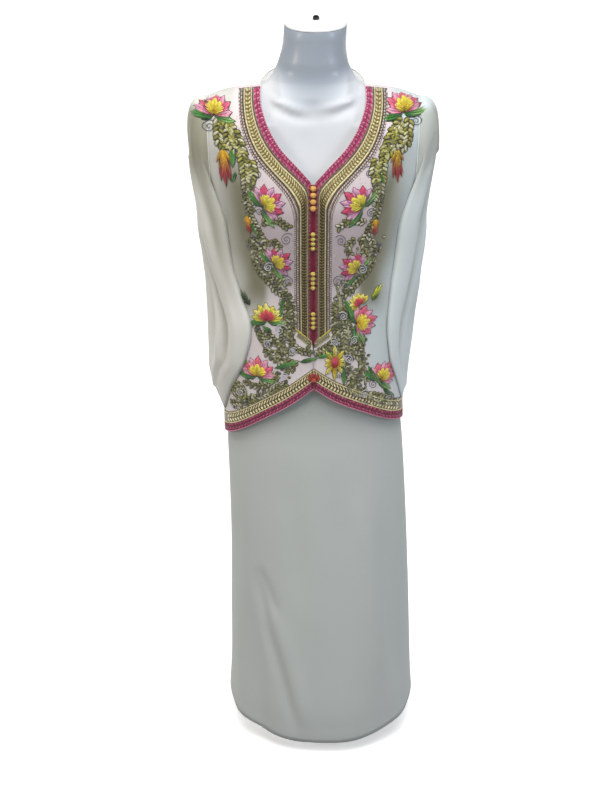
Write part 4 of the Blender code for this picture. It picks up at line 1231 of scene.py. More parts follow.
def crescent(side, name, height, steps):
    """Points of the hanging tube at this height, in the order of the armhole's: a flat crescent."""
    rows = SLEEVE[name]
    quarter = SLEEVE_AROUND // 2
    half_width = by_height(OVERLAY_ROWS, "half_width", height)
    centre = by_height(OVERLAY_ROWS, "centre", height)
    full = by_height(rows, "reach", height) - side * centre - half_width - SLEEVE_GAP
    way = np.where(steps <= 2 * quarter, -1, 1)
    step = np.where(steps <= 2 * quarter, steps, 4 * quarter - steps)
    edge = np.where(way < 0, by_height(rows, "front_edge", height), by_height(rows, "back_edge", height))
    outside = step > quarter
    share = np.where(outside, 2 * quarter - step, step) / quarter
    turn = math.pi / 2 + (turn_of(OVERLAY, edge, height) - math.pi / 2) * share
    swell = np.where(outside, np.sqrt(np.clip(1 - share**CRESCENT_FULLNESS, 0, 1)), 0.0)
    fall = (rows[0].height - height) / (rows[0].height - rows[-1].height)
    push = sum(
        fold.depth * np.exp(-(((-way * share - fold.high - (fold.low - fold.high) * fall) / fold.width) ** 2))
        for fold in SLEEVE_FOLDS
    ) * math.sin(math.pi * (SLANTS_START + SLANTS_GROW * fall))
    grow = SLEEVE_GAP + full * swell + swell * push
    deep = table_depth(OVERLAY_ROWS, way, height)
    deep = deep + SLEEVE_GAP + CRESCENT_FLATNESS * (grow - SLEEVE_GAP)
    sine, cosine = np.clip(np.sin(turn), 0, 1), np.clip(np.cos(turn), 0, 1)
    x = (half_width + grow) * sine ** (2 / SQUARENESS)
    y = way * deep * cosine ** (2 / SQUARENESS)
    lifting = max(0.0, 1 - (height - rows[-1].height) / CUFF_LIFTS_OVER)
    return np.stack([centre + side * x, y, height + CUFF_LIFT[name] * lifting * swell], 1)


def clear_of_body(ring, side, gap):
    """The ring, pushed out where it would come nearer to the overlay's own section than the gap."""
    z = ring[:, 2]
    centre = by_height(OVERLAY_ROWS, "centre", z)
    half_width = by_height(OVERLAY_ROWS, "half_width", z) + gap
    deep = table_depth(OVERLAY_ROWS, ring[:, 1], z) + gap
    x = np.abs(ring[:, 0] - centre)
    spread = ((x / half_width) ** SQUARENESS + (np.abs(ring[:, 1]) / deep) ** SQUARENESS) ** (1 / SQUARENESS)
    spread = np.where((z > UNDERARM) | (spread >= 1), 1.0, spread)
    return np.stack([centre + side * x / spread, ring[:, 1] / spread, z], 1)


def sleeve_rings(side, name):
    """Rings of a sleeve: its head turns from the armhole down to the first crescent, then the tube falls."""
    count = 2 * SLEEVE_AROUND
    steps = np.arange(count)
    way = np.where(steps <= SLEEVE_AROUND, -1, 1)
    up = np.where(way < 0, SLEEVE_AROUND - steps, steps - SLEEVE_AROUND)
    share = 1 - np.cos(math.pi / 2 * up / SLEEVE_AROUND)
    out, height = armhole(share)
    front, back = (laid(OVERLAY, face, side, out, height, 0 * out) for face in (-1, 1))
    start = np.where((way < 0)[:, None], front, back)
    start[:, 0] += side * (ARMHOLE_GAP + (UNDERARM_GAP - ARMHOLE_GAP) * share**2)
    start[[0, SLEEVE_AROUND], 1] = 0.0
    top, bottom = SLEEVE[name][0].height, SLEEVE[name][-1].height
    end = crescent(side, name, top, steps)
    length = np.linalg.norm(end - start, axis=1)[:, None]
    rise = 1 - np.abs(steps - SLEEVE_AROUND) / SLEEVE_AROUND
    leave = np.stack([
        side * (LEAVES_OUT[0] + (LEAVES_OUT[1] - LEAVES_OUT[0]) * rise), 0 * rise,
        LEAVES_DOWN[0] + (LEAVES_DOWN[1] - LEAVES_DOWN[0]) * rise,
    ], 1) * length
    hang = np.array([0.0, 0.0, HANGS_DOWN]) * length
    rings = []
    for j in range(SLEEVE_HEAD):
        t = j / SLEEVE_HEAD
        ring = (
            start * (2 * t**3 - 3 * t**2 + 1) + leave * (t**3 - 2 * t**2 + t)
            + end * (3 * t**2 - 2 * t**3) + hang * (t**3 - t**2)
        )
        rings.append(clear_of_body(ring, side, SLEEVE_GAP * t) if j else ring)
    rings += [crescent(side, name, h, steps) for h in np.linspace(top, bottom, SLEEVE_FALL + 1)]
    return np.array(rings)


# How strong the painted olive shade on the sleeves is: beside the body, below the shoulder and in the
# creases' hollows
SHADE_INSIDE = {"left": 0.40, "right": 0.12}
SHADE_UPPER = {"left": 0.85, "right": 0.50}
SHADE_HOLLOW = 0.40


def make_sleeves():
    """The two hanging sleeves with their creases."""
    for side, name in SIDES:
        rings = sleeve_rings(side, name)
        count = rings.shape[1]
        quarter = SLEEVE_AROUND // 2
        steps = np.arange(count)
        way = np.where(steps <= 2 * quarter, 1, -1)
        step = np.where(steps <= 2 * quarter, steps, 4 * quarter - steps)
        outside = np.clip((step - quarter) / (0.35 * quarter), 0, 1)
        place = way * (2 * quarter - step) / quarter
        places = np.broadcast_to(place, rings.shape[:2])
        push = CREASE_DEEPENS * creased(SLEEVE_CREASES[name], places, rings[:, :, 2])
        around = np.roll(rings, -1, axis=1) - np.roll(rings, 1, axis=1)
        down = np.gradient(rings, axis=0)
        normal = np.cross(around, down)
        normal /= np.maximum(np.linalg.norm(normal, axis=2, keepdims=True), 1e-9)
        middle = rings.mean(axis=1, keepdims=True)
        normal *= np.sign(((rings - middle) * normal).sum(axis=(1, 2), keepdims=True))
        settled = ease(0.0, 0.25, np.linspace(0, 1, len(rings)))[:, None]
        rings = rings + normal * (push * outside * settled)[..., None]
        high = rings[:, :, 2]
        # Painted olive shade beside the body, under the shoulder tip and in the creases' hollows
        near_body = ease(0.45, 0.95, place) * ease(0.98, 1.10, high) * (1 - ease(1.20, 1.32, high))
        under_tip = ease(-0.3, 0.2, place) * ease(1.20, 1.31, high) * (1 - ease(1.366, 1.386, high))
        hollow = np.clip(-push / 0.007, 0, 1)
        shade = near_body * SHADE_INSIDE[name] + under_tip * SHADE_UPPER[name] + hollow * SHADE_HOLLOW
        # Green holds the painted olive shade; blue marks the right sleeve for its painted cool light
        marks = np.stack([0 * high, np.clip(shade, 0, 1), 0 * high + (side > 0)], -1)
        order = slice(None) if side < 0 else slice(None, None, -1)
        grid, marks = rings[:, order], marks[:, order]
        piece = shell(
            f"chiffon_sleeve_{name}", grid, SLEEVE_CHIFFON, CHIFFON_THICK, marks, wrapped=True,
        )
        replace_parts(piece, f"sleeve_{name}")
        SLEEVE_CLOTH[name] = BVHTree.FromPolygons(
            [v.co for v in piece.data.vertices], [tuple(face.vertices) for face in piece.data.polygons]
        )
        EDGES[f"cuff_{name}"], EDGES[f"armhole_{name}"] = rings[-1], rings[0]


def line_lengths(line):
    """Distance run along a line of places, from its start."""
    return np.concatenate([[0.0], np.cumsum(np.linalg.norm(np.diff(line, axis=0), axis=1))])


# The trim's first rows keep to the cloth's edge, and the rows past them round its corner at the V
TRIM_ROUND = (0.004, 0.016)
ROUNDINGS = 90
BAND_ENDS = 1.1


def rounded(line):
    """A line with its corners eased, and its ends kept."""
    line = line.copy()
    for _ in range(ROUNDINGS):
        line[1:-1] = (line[:-2] + 2 * line[1:-1] + line[2:]) / 4
    return line


class Band:
    """A strip of trim between two lines on the overlay, measured along its middle and across."""

    def __init__(self, side, near, far, narrow=None):
        self.side, self.near, self.far = side, near, far
        self.smooth = rounded(near)
        self.run = line_lengths((near + far) / 2)
        self.narrow = np.zeros(len(near)) if narrow is None else narrow
        self.length = self.run[-1]

    def __call__(self, along, across, lift):
        """Points on the overlay, off its face by lift."""
        power = 1 + np.interp(along, self.run, self.narrow)
        share = np.clip(across / TRIM_BAND, 0.0, BAND_ENDS) ** power
        off = np.clip((across - TRIM_ROUND[0]) / (TRIM_ROUND[1] - TRIM_ROUND[0]), 0, 1)
        places = []
        for k in (0, 1):
            lines = (self.near, self.smooth, self.far)
            near, smooth, far = (np.interp(along, self.run, line[:, k]) for line in lines)
            places.append((near * (1 - off) + smooth * off) * (1 - share) + far * share)
        return on_overlay(-1, self.side, *places, CLOTH / 2 + lift)

    def height_at(self, along):
        """Height of the near line at this place along."""
        return np.interp(along, self.run, self.near[:, 1])


BAND_STEPS = 160
PLACKET_NARROWS = 0.65
TRIM_STARTS = 0.0012
TURNS_WITHIN, TURN_POWER = 0.35, 1.6
ENDS_FROM = 0.84


def neck_band(side):
    """The trim down the neckline and the placket. On the placket its inner rows draw together."""
    share = 1 - np.cos(math.pi / 2 * np.linspace(0, 1, BAND_STEPS))
    near_height, far_height = (
        top - TRIM_STARTS + (foot - top + TRIM_STARTS) * share
        for top, foot in ((NECK_EDGE[0].height, V_HEIGHT), (TRIM_EDGE[0].height, TRIM_EDGE[-1].height))
    )
    near = [np.column_stack([by_height(NECK_EDGE, "out", near_height), near_height])]
    far = [np.column_stack([by_height(TRIM_EDGE, "out", far_height), far_height])]
    share = np.linspace(0, 1, BAND_STEPS)[1:]
    near_end, far_end = (PLACKET_END + end for end in TRIM_ENDS)
    start = TRIM_EDGE[-1]
    down = V_HEIGHT + (near_end - V_HEIGHT) * share
    # Below the corner the outer line waits for the inner one, so that the stitches turn level with the band
    behind = (start.height - V_HEIGHT) * (1 - np.minimum(1, share / TURNS_WITHIN)) ** TURN_POWER
    near.append(np.column_stack([np.full_like(share, PLACKET_HALF), down]))
    ending = (far_end - near_end) * np.clip((share - ENDS_FROM) / (1 - ENDS_FROM), 0, 1) ** TURN_POWER
    far.append(np.column_stack([np.full_like(share, start.out), down + behind + ending]))
    near, far = np.vstack(near), np.vstack(far)
    narrow = PLACKET_NARROWS * (1 - ease(V_HEIGHT - 0.02, V_HEIGHT + 0.05, near[:, 1]))
    return Band(side, near, rounded(far), narrow)


def hem_band(side, name):
    """The trim along a front half's hem, up to the side seam."""
    hem = HEM[name]
    out = np.linspace(SEAM, hem[-1].out - 0.0015, BAND_STEPS)
    edge = by_out(hem, out)
    near = np.column_stack([out, edge + 0.0005])
    return Band(side, near, near + [0.0, TRIM_BAND])


def fade(first, second, amount):
    """What lies this share of the way from the first to the second."""
    return first + (second - first) * amount


# Dyes of the thread work
PINKS = dye_lot("#d6477c", "#c23a72", "#f0a6c2", "#b02e63")
BURGUNDIES = dye_lot("#a03058", "#8c2348", "#c4688c", "#7a1c3c")
CRIMSON, DARK_CRIMSON, STRIP_CRIMSON, PALE_PINK = dye_lot("#8c1432", "#5c0d24", "#7a0f2b", "#f0a9bd")
CREAM, PALE_GOLD, OLD_GOLD = dye_lot("#f3e9bd", "#e3d494", "#95803f")
BRONZE, MAUVE, PALE_MAUVE, LACE_KNOT = dye_lot("#5a4a24", "#7d6258", "#b09a96", "#f0e4dc")

# Rows of the trim, with their distances across from the cloth's edge. A pair is what a row has above the V
# and what it has on the placket.
Crochet = namedtuple("Crochet", "low high pitch dyes")
Cord = namedtuple("Cord", "across width height dyes deepens")
Chevrons = namedtuple("Chevrons", "low high pitch light ground full")
NECK_CROCHET = Crochet(0.0008, 0.0131, 0.0042, PINKS)
NECK_INNER = [
    Cord(0.0149, 0.0028, 0.0008, (BRONZE, MAUVE), False),
    Cord(0.0172, 0.0026, 0.0018, (CREAM, CREAM, PALE_GOLD), True),
]
NECK_CHEVRONS = Chevrons(
    0.0184, 0.0296, 0.0056, (CREAM * 1.05, OLD_GOLD * 1.1), (OLD_GOLD * 0.85, BRONZE * 0.30), (0.62, 0.42),
)
NECK_OUTER = [
    Cord(0.0310, 0.0030, 0.0019, (CREAM, CREAM, PALE_GOLD), True),
    Cord(0.0333, 0.0020, 0.0008, (BRONZE, MAUVE * 0.8), True),
]
HEM_CROCHET = Crochet(0.0004, 0.0176, 0.0040, BURGUNDIES)
HEM_PIPING = Cord(0.0012, 0.0022, 0.0016, (PINKS[0], PINKS[2]), False)
HEM_INNER = Cord(0.0190, 0.0022, 0.0016, (CREAM, PALE_GOLD), False)
HEM_CHEVRONS = Chevrons(0.0200, 0.0384, 0.0068, (CREAM, CREAM), (BRONZE, BRONZE), (0.62, 0.62))
HEM_OUTER = Cord(0.0395, 0.0022, 0.0016, (CREAM, PALE_GOLD), False)
# How crimson the hem's crochet is, and how much darker a deepened cord gets
HEM_DEEP, CORD_DEEPENS = 0.15, 0.45
TAPE_STEP, CORD_STEP = 0.004, 0.0016
SHELL_LEAN, CHEVRON_SLANT, CHAIN_LEAN = 32, math.radians(33), 28


def crochet(work, band, row, deep):
    """Two rows of slanting crochet shells on a tape. deep tells how crimson it is at each place along."""
    light, first, pale, dark = row.dyes
    along = np.arange(0.0, band.length, TAPE_STEP)
    tape_dyes = np.array([fade(dark * 0.6, DARK_CRIMSON, deep(a)) for a in along])
    work.tape(along, row.low, row.high, 0.0006, tape_dyes)
    wide = (row.high - row.low) / 2
    for k in range(int(band.length / row.pitch) - 1):
        a = (k + 0.5) * row.pitch
        for r in (0, 1):
            root, tip = (dark, light) if (k + r) % 2 else (first, pale)
            root = fade(root, DARK_CRIMSON, 0.8 * deep(a))
            tip = fade(tip, CRIMSON, (0.55 if r else 0.9) * deep(a))
            root, tip = root * RANDOM.uniform(0.7, 1.1), np.minimum(1.0, tip * RANDOM.uniform(0.85, 1.35))
            lean = math.radians(90 - SHELL_LEAN * (1 if r else -1)) + RANDOM.normal(0, 0.10)
            work.blade(
                (a, row.low + r * wide + 0.0001), lean, wide * 1.16, row.pitch * 1.02,
                0.0013 + RANDOM.uniform(0, 0.0004), root, tip, base=0.0004, waist=0.62, point=0.38,
            )


PICOT_PITCH, PICOT_RADIUS, PICOT_THREAD = 0.0052, 0.0021, 0.0012


def picots(work, until):
    """Small loops of pale crochet that stand out along the neckline's edge."""
    turn = np.linspace(0, math.pi, 7)
    for k in range(int(until / PICOT_PITCH)):
        a = (k + 0.5) * PICOT_PITCH
        path = np.stack([a + PICOT_RADIUS * np.cos(turn), 0.0014 - PICOT_RADIUS * np.sin(turn) + 0.0007], 1)
        work.thread(path, PICOT_THREAD, PICOT_THREAD, PALE_PINK, base=0.0005)


def cord(work, band, row, deep=None):
    """A laid cord along the band, in turns of its dyes like a twisted yarn, and darker where deep says so."""
    along = np.arange(0.0, band.length, CORD_STEP)
    path = np.stack([along, np.full_like(along, row.across)], 1)
    turns = np.array([row.dyes[k % len(row.dyes)] for k in range(len(along))])
    if row.deepens:
        turns = turns * np.array([[1 - CORD_DEEPENS * deep(a)] for a in along])
    work.thread(path, row.width, row.height, turns, base=0.0002)


def chevrons(work, band, row, deep):
    """Pairs of slanting gilt stitches over a darker tape. full is how much of the pitch a stitch fills."""
    along = np.arange(0.0, band.length, TAPE_STEP)
    work.tape(along, row.low, row.high, 0.0005, np.array([fade(*row.ground, deep(a)) for a in along]))
    middle, reach = (row.low + row.high) / 2, (row.high - row.low) / 2
    for k in range(int(band.length / row.pitch) - 1):
        a = (k + 0.2) * row.pitch
        for way in (-1, 1):
            dye = fade(*row.light, deep(a)) * RANDOM.uniform(0.86, 1.12)
            lean = math.pi - way * (math.pi / 2 - CHEVRON_SLANT)
            work.blade(
                (a + 0.0020, middle + way * 0.0001), lean, reach * 1.16, row.pitch * fade(*row.full, deep(a)),
                0.0013, dye, dye * 0.92, base=0.0003,
            )


# The line of chain stitch past the hem's braid
CHAIN_ACROSS, CHAIN_SIZE, CHAIN_PITCH, CHAIN_DYES = 0.0420, 0.0030, 0.0027, (MAUVE, OLD_GOLD, PALE_MAUVE)


def chain(work, band):
    """A line of chain stitch: small links that lean by turns."""
    for k in range(int(band.length / CHAIN_PITCH) - 1):
        way = 1 if k % 2 else -1
        dye = CHAIN_DYES[k % len(CHAIN_DYES)] * RANDOM.uniform(0.85, 1.15)
        work.blade(
            ((k + 0.1) * CHAIN_PITCH, CHAIN_ACROSS - way * CHAIN_SIZE * 0.25), math.radians(way * CHAIN_LEAN),
            CHAIN_PITCH * 1.35, CHAIN_SIZE, 0.0010, dye, dye, base=0.0002,
        )


# The brown lace outside the neck's braid, and the distance between its knots
LACE_LOW, LACE_HIGH, LACE_PITCH = 0.0342, 0.0424, 0.0044


def lace(work, band, deep):
    """The fine brown lace outside the braid: two rows of pale knots on a thin dark tape."""
    along = np.arange(0.0, band.length, TAPE_STEP)
    tape_dyes = np.array([fade(MAUVE * 0.85, MAUVE * 0.60, deep(a)) for a in along])
    work.tape(along, LACE_LOW, LACE_HIGH - 0.0004, 0.0004, tape_dyes)
    reach = (LACE_HIGH - LACE_LOW) / 4
    for row in (0, 1):
        across = LACE_LOW + reach * (1 + 2 * row)
        for k in range(int(band.length / LACE_PITCH) - 1):
            a = (k + 0.5 * row + 0.2) * LACE_PITCH
            dye = fade(LACE_KNOT * 0.8, LACE_KNOT * 0.5, deep(a)) * RANDOM.uniform(0.8, 1.2)
            work.dome((a, across), reach * 0.76, 0.0013, dye, base=0.0003, stretch=1.25)


def make_trims():
    """Crochet edging and gilt braid of the neckline, placket and front hem, with the rows beside them."""
    for side, name in SIDES:
        band = neck_band(side)

        def deep(a, band=band):
            """0 where the trim runs above the V, 1 on the placket."""
            return float(1 - ease(V_HEIGHT - 0.03, V_HEIGHT + 0.03, band.height_at(a)))

        edging, braid = Work(), Work()
        crochet(edging, band, NECK_CROCHET, deep)
        picots(edging, band.run[BAND_STEPS - 8])
        sew(f"neck_crochet_{name}", edging, band, COTTON, "crochet_edging", f"neck_edging_{name}")
        for row in NECK_INNER:
            cord(braid, band, row, deep)
        chevrons(braid, band, NECK_CHEVRONS, deep)
        for row in NECK_OUTER:
            cord(braid, band, row, deep)
        lace(braid, band, deep)
        sew(f"neck_gilt_{name}", braid, band, GILT, "gold_braid", f"neck_braid_{name}")
        band = hem_band(side, name)
        edging, braid = Work(), Work()
        crochet(edging, band, HEM_CROCHET, lambda a: HEM_DEEP)
        cord(edging, band, HEM_PIPING)
        sew(f"hem_crochet_{name}", edging, band, COTTON, "crochet_edging", f"hem_edging_{name}")
        cord(braid, band, HEM_INNER)
        chevrons(braid, band, HEM_CHEVRONS, lambda a: HEM_DEEP)
        cord(braid, band, HEM_OUTER)
        chain(braid, band)
        sew(f"hem_gilt_{name}", braid, band, GILT, "gold_braid", f"hem_braid_{name}")


# Knot buttons and the cords round them
KNOT_SIZE = 0.0090
BUTTON_LIFT = 0.0038
NOTCH_LIFT = 0.0063
STRIP_LIFT = 0.0015
# Thread of the knots: the poles' dye, the strands' and the one between the strands
ORANGES = dye_lot("#e8a444", "#f4c468", "#b8702a")
YELLOWS = dye_lot("#d2b83e", "#e6d06c", "#8f7a26")
EMBERS = dye_lot("#b9402a", "#d0552e", "#8e2a22")
# A button's loop runs from beside the knot to the trim: both distances aside, how far behind the knot it
# starts, and its thickness
LOOP_FOOT, LOOP_END, LOOP_BEHIND, LOOP_RADIUS = 0.0042, 0.0088, 0.0022, 0.00075
STRIP_ROWS, STRIP_COLUMNS, STRIP_RIB = 140, 25, 0.0003


KNOT_STRANDS, KNOT_SIDES, KNOT_ROWS, KNOT_FLATNESS = 5, 28, 14, 0.94


def knot_shape(work, middle, size, dyes):
    """A thread knot: a ball whose strands run round it at a slant."""
    sides, rows = KNOT_SIDES, KNOT_ROWS
    latitude = np.linspace(0, math.pi, rows + 1)[1:-1]
    longitude = np.linspace(0, 2 * math.pi, sides, endpoint=False)
    lat, lon = np.meshgrid(latitude, longitude, indexing="ij")
    strand = np.abs(np.sin(KNOT_STRANDS * (lon + 1.1 * lat)))
    radius = size / 2 * (0.90 + 0.10 * strand)
    ball = np.stack([
        radius * np.sin(lat) * np.cos(lon), radius * np.sin(lat) * np.sin(lon) * KNOT_FLATNESS,
        radius * np.cos(lat) * KNOT_FLATNESS,
    ], -1).reshape(-1, 3)
    poles = np.array([[0, 0, size * 0.43], [0, 0, -size * 0.43]])
    dye = fade(dyes[2], dyes[1], strand.reshape(-1, 1))
    points = np.vstack([ball, poles]) + middle
    count = sides * (rows - 1)
    faces = wall_faces(rows - 1, sides, True)
    for i in range(sides):
        k = (i + 1) % sides
        faces.append((count, i, k))
        faces.append((count + 1, (rows - 2) * sides + k, (rows - 2) * sides + i))
    work.add(points, faces, np.vstack([dye, dyes[0][None], dyes[0][None]]))


def as_drawn(x, y, z):
    """Keeps points where they are."""
    return np.stack([x, y, z], -1)


def centre_point(height, lift):
    """A place before the overlay's centre line."""
    point = laid(OVERLAY, -1, 1, np.zeros(1), np.array([height]), np.zeros(1))[0]
    return point + [0.0, -lift, 0.0]


def tube(work, path, radius, dye, sides=8):
    """A round cord through points in space."""
    path = np.asarray(path, float)
    along = np.gradient(path, axis=0)
    along /= np.linalg.norm(along, axis=1, keepdims=True)
    first = np.cross(along, [0.31, 0.83, 0.46])
    first /= np.linalg.norm(first, axis=1, keepdims=True)
    second = np.cross(along, first)
    turn = np.linspace(0, 2 * math.pi, sides, endpoint=False)
    rings = path[:, None] + radius * (
        np.cos(turn)[None, :, None] * first[:, None] + np.sin(turn)[None, :, None] * second[:, None]
    )
    work.add_rod(rings, dye)


def make_closure():
    """The crimson underlap behind the placket, its knot buttons with their loops, and the notch's knot."""
    ribs = STRIP_RIB * np.abs(np.cos(np.arange(STRIP_COLUMNS) * math.pi / 2))
    lift = ribs - (CLOTH + STRIP_LIFT)
    x = np.linspace(-1, 1, STRIP_COLUMNS) * STRIP_HALF
    grid = np.array([
        laid(OVERLAY, -1, np.sign(x + 1e-9), np.abs(x), np.full(STRIP_COLUMNS, height), lift)
        for height in np.linspace(V_HEIGHT - 0.004, PLACKET_END, STRIP_ROWS)
    ])
    dyes = np.broadcast_to(STRIP_CRIMSON, grid.shape)
    piece = shell("crimson_underlap", grid[:, ::-1], COTTON, CHIFFON_THICK, dyes)
    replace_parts(piece, "placket_strip")
    knots = Work()
    for g, group in enumerate(BUTTON_GROUPS):
        for i in range(BUTTONS_A_GROUP):
            height = group.top - group.pitch * i
            middle = centre_point(height, BUTTON_LIFT)
            dyes = ORANGES if g == 0 else YELLOWS
            knot_shape(knots, middle, group.size, dyes)
            for way in (-1, 1):
                t = np.linspace(0, 1, 9)[:, None]
                foot = middle + [way * LOOP_FOOT, LOOP_BEHIND, 0.0]
                aside = np.array([middle[0] + way * LOOP_END])
                end = front_plane(aside, np.array([height - 0.0012]), LOOP_BEHIND)[0]
                bow = np.sin(math.pi * t) * [0.0, -0.0012, 0.0006]
                tube(knots, foot + (end - foot) * t + bow, LOOP_RADIUS, dyes[2])
    buttons = (f"button_{n:02d}" for n in range(1, len(BUTTON_GROUPS) * BUTTONS_A_GROUP + 1))
    sew("knot_buttons", knots, as_drawn, SILK, "knot_thread", *buttons)
    notch = Work()
    middle = centre_point(HEM["left"][0].height + TRIM_BAND / 2, NOTCH_LIFT)
    knot_shape(notch, middle, KNOT_SIZE, EMBERS)
    t = np.linspace(0, 1, 14)[:, None]
    start = middle + [0.0, 0.0012, -0.0040]
    path = start + t * [0.0006, 0.0028, -0.0270] + np.sin(math.pi * t) * [0.0012, -0.0010, 0.0]
    tube(notch, path, 0.0006, EMBERS[2])
    sew("notch_thread_knot", notch, as_drawn, SILK, "knot_thread", "notch_knot")


# Half the thickness of a rolled hem and of a seam's ridge
ROLL, SEAM_RIDGE = 0.0012, 0.0008
WHITE_THREAD = dyed("#dcdcd8")
STITCH, STITCH_STEP, STITCH_RADIUS = 0.0035, 0.0095, 0.00035


def ridges(name, lines, radius, material, slot, painted_cool_light=0.0):
    """Rolled hems or seam ridges along lines of points."""
    work = Work()
    for line in lines:
        tube(work, line, radius, np.array([0.0, 0.0, painted_cool_light]))
    return sew(name, work, as_drawn, material, slot)


def make_hems():
    """Rolled hems, seam ridges and the pricked stitches of the long hem."""
    for side, name in SIDES:
        # The right side's cuff roll and armhole seam take the painted cool light
        painted_cool_light = float(side > 0)
        cuff, round_armhole = (
            np.vstack([line, line[:2]]) for line in (EDGES[f"cuff_{name}"], EDGES[f"armhole_{name}"])
        )
        ridges(f"cuff_roll_{name}", [cuff], ROLL, ROLLED_CHIFFON, "chiffon", painted_cool_light)
        ridges(f"armhole_seam_{name}", [round_armhole], SEAM_RIDGE, ROLLED_CHIFFON, "chiffon", painted_cool_light)
        ridges(f"shoulder_seam_{name}", [EDGES[f"shoulder_{name}"]], SEAM_RIDGE, ROLLED_CHIFFON, "chiffon")
        front, back = (EDGES[f"dress_side_{name}_{way}"] for way in ("front", "back"))
        ridges(f"dress_side_seam_{name}", [(front + back) / 2], SEAM_RIDGE, CREPE, "crepe")
    ridges("back_hem_roll", [EDGES["back_hem"]], ROLL, ROLLED_CHIFFON, "chiffon")
    ridges("back_neck_binding", [EDGES["back_neck"]], ROLL, ROLLED_CHIFFON, "chiffon")
    for way in ("front", "back"):
        line = EDGES[f"dress_hem_{way}"]
        run = line_lengths(line)
        work = Work()
        for start in np.arange(0.004, run[-1] - 0.006, STITCH_STEP):
            at = start + np.linspace(0, STITCH, 4)
            path = np.stack([np.interp(at, run, line[:, k]) for k in range(3)], 1)
            tube(work, path, STITCH_RADIUS, WHITE_THREAD, sides=6)
        sew(f"hem_stitches_{way}", work, as_drawn, COTTON, "crepe")


# A cloth's cut as a flat rectangle round it, its own flat area, what it rests on and what is sewn to it
Sheet = namedtuple("Sheet", "piece width length area rests_on sewn")


# Embroidery. Places are those of the photograph, 600 by 800; the right side's are turned over its axis.
AXIS = 627.0
GREENS = dye_lot("#2f6b2c", "#4c8f3a", "#8cc06a", "#24521f")
OLIVES = dye_lot("#d6d39c", "#b4b066", "#8f8f4c", "#e2dcb0", "#7c7a38", "#cbc54a")
VINE_TINTS = {
    "high": dye_lot("#bdb653", "#cfcb86", "#a5a044", "#dad6ac", "#8f8c3c"),
    "low": dye_lot("#bcb894", "#8f8d5c", "#76754a", "#c9c5ab", "#63633a", "#85834a"),
}
# Height at which the vines' tint turns
VINE_TURNS = 1.26
DARK_OLIVE, SILVER, PALE_SILVER = dye_lot("#45431f", "#62626e", "#d5d3de")
# A lotus's outer petals and its heart
LOTUS_DYES = {
    "pink": (dye_lot("#b81a48", "#eeaabf", "#cf5580", "#ea6d88"), dye_lot("#d3b01c", "#f2e24a")),
    "rose": (dye_lot("#9c1846", "#dcaac6", "#ac4c84", "#d64a70"), dye_lot("#b9a624", "#e6da4e")),
    "wine": (dye_lot("#851638", "#cc98b6", "#9a4074", "#c03c60"), dye_lot("#ab961c", "#dccc44")),
    "sun": (dye_lot("#c9a41e", "#eedf52", "#b8a82c", "#f4ea86"), dye_lot("#b41f3f", "#dd4a5a")),
}
Lotus = namedtuple("Lotus", "u v size turn dyes leaves")
LOTUSES = [
    Lotus(215, 114, 0.082, 2, "pink", 1), Lotus(404, 111, 0.082, -4, "pink", 1),
    Lotus(264, 206, 0.086, 54, "rose", 1), Lotus(362, 206, 0.086, -52, "rose", 1),
    Lotus(275, 264, 0.074, 52, "wine", 1), Lotus(357, 269, 0.074, -52, "wine", 1),
    Lotus(268, 320, 0.074, -6, "sun", 1), Lotus(360, 304, 0.052, -38, "sun", 0),
    Lotus(357, 323, 0.084, 80, "pink", 1), Lotus(258, 375, 0.082, 2, "pink", 1),
    Lotus(380, 378, 0.076, 42, "pink", 1),
]


def facing(turn):
    """Angle on the plane of a turn in degrees, clockwise from upright."""
    return math.radians(90 - turn)


def heading(angle):
    """The direction of an angle on the plane."""
    return np.array([math.cos(angle), math.sin(angle)])


# Height of a puffed petal, and how its ground is larger and darker than the petal
PUFF, GROUND_LONGER, GROUND_WIDER = 0.0016, 1.08, 1.22


def petal(work, at, angle, length, width, dyes, base, height=PUFF, bend=0.0, point=0.8, turns=(0.15, 0.9)):
    """A satin-stitched petal: one puffed patch on a dark ground, with finer stitches lying along it."""
    root, tip = dyes
    shape = {"bend": bend, "point": point}
    work.blade(
        at - heading(angle) * length * 0.03, angle, length * GROUND_LONGER, width * GROUND_WIDER,
        height * 0.5, root * 0.35, root * 0.45, base=base - 0.0002, **shape,
    )
    work.blade(at, angle, length, width, height, root, tip, base=base, fine=True, turns=turns, **shape)
    sideways = np.array([-math.sin(angle), math.cos(angle)])
    for k in (-1, 0, 1):
        start = at + sideways * k * width * 0.13 + heading(angle) * length * 0.07
        tint = RANDOM.uniform(0.75, 1.25)
        work.blade(
            start, angle + k * 0.10 * width / length * 3, length * RANDOM.uniform(0.72, 0.88), width * 0.20,
            height * 0.35, root * tint, np.minimum(tip * (1.15 if k else 0.85), 1.0), bend=bend,
            base=base + height * (0.92 if k else 1.0),
        )


# A lotus's petals are set out by shares of its size
LOTUS_SPREAD = math.radians(79)
LEAF_SPREAD, LEAF_BEND = math.radians(97), 0.5
OUTER_LONG, OUTER_WIDE, OUTER_COUNT = 0.47, 0.185, 7
INNER_LONG, INNER_WIDE, INNER_COUNT = 0.35, 0.115, 4
HEART_LONG, HEART_WIDE = 0.30, 0.135
# The heart's petals, from its sides to its middle, as shares of the spread
HEART_PETALS = (-0.72, 0.72, -0.37, 0.37, 0.0)


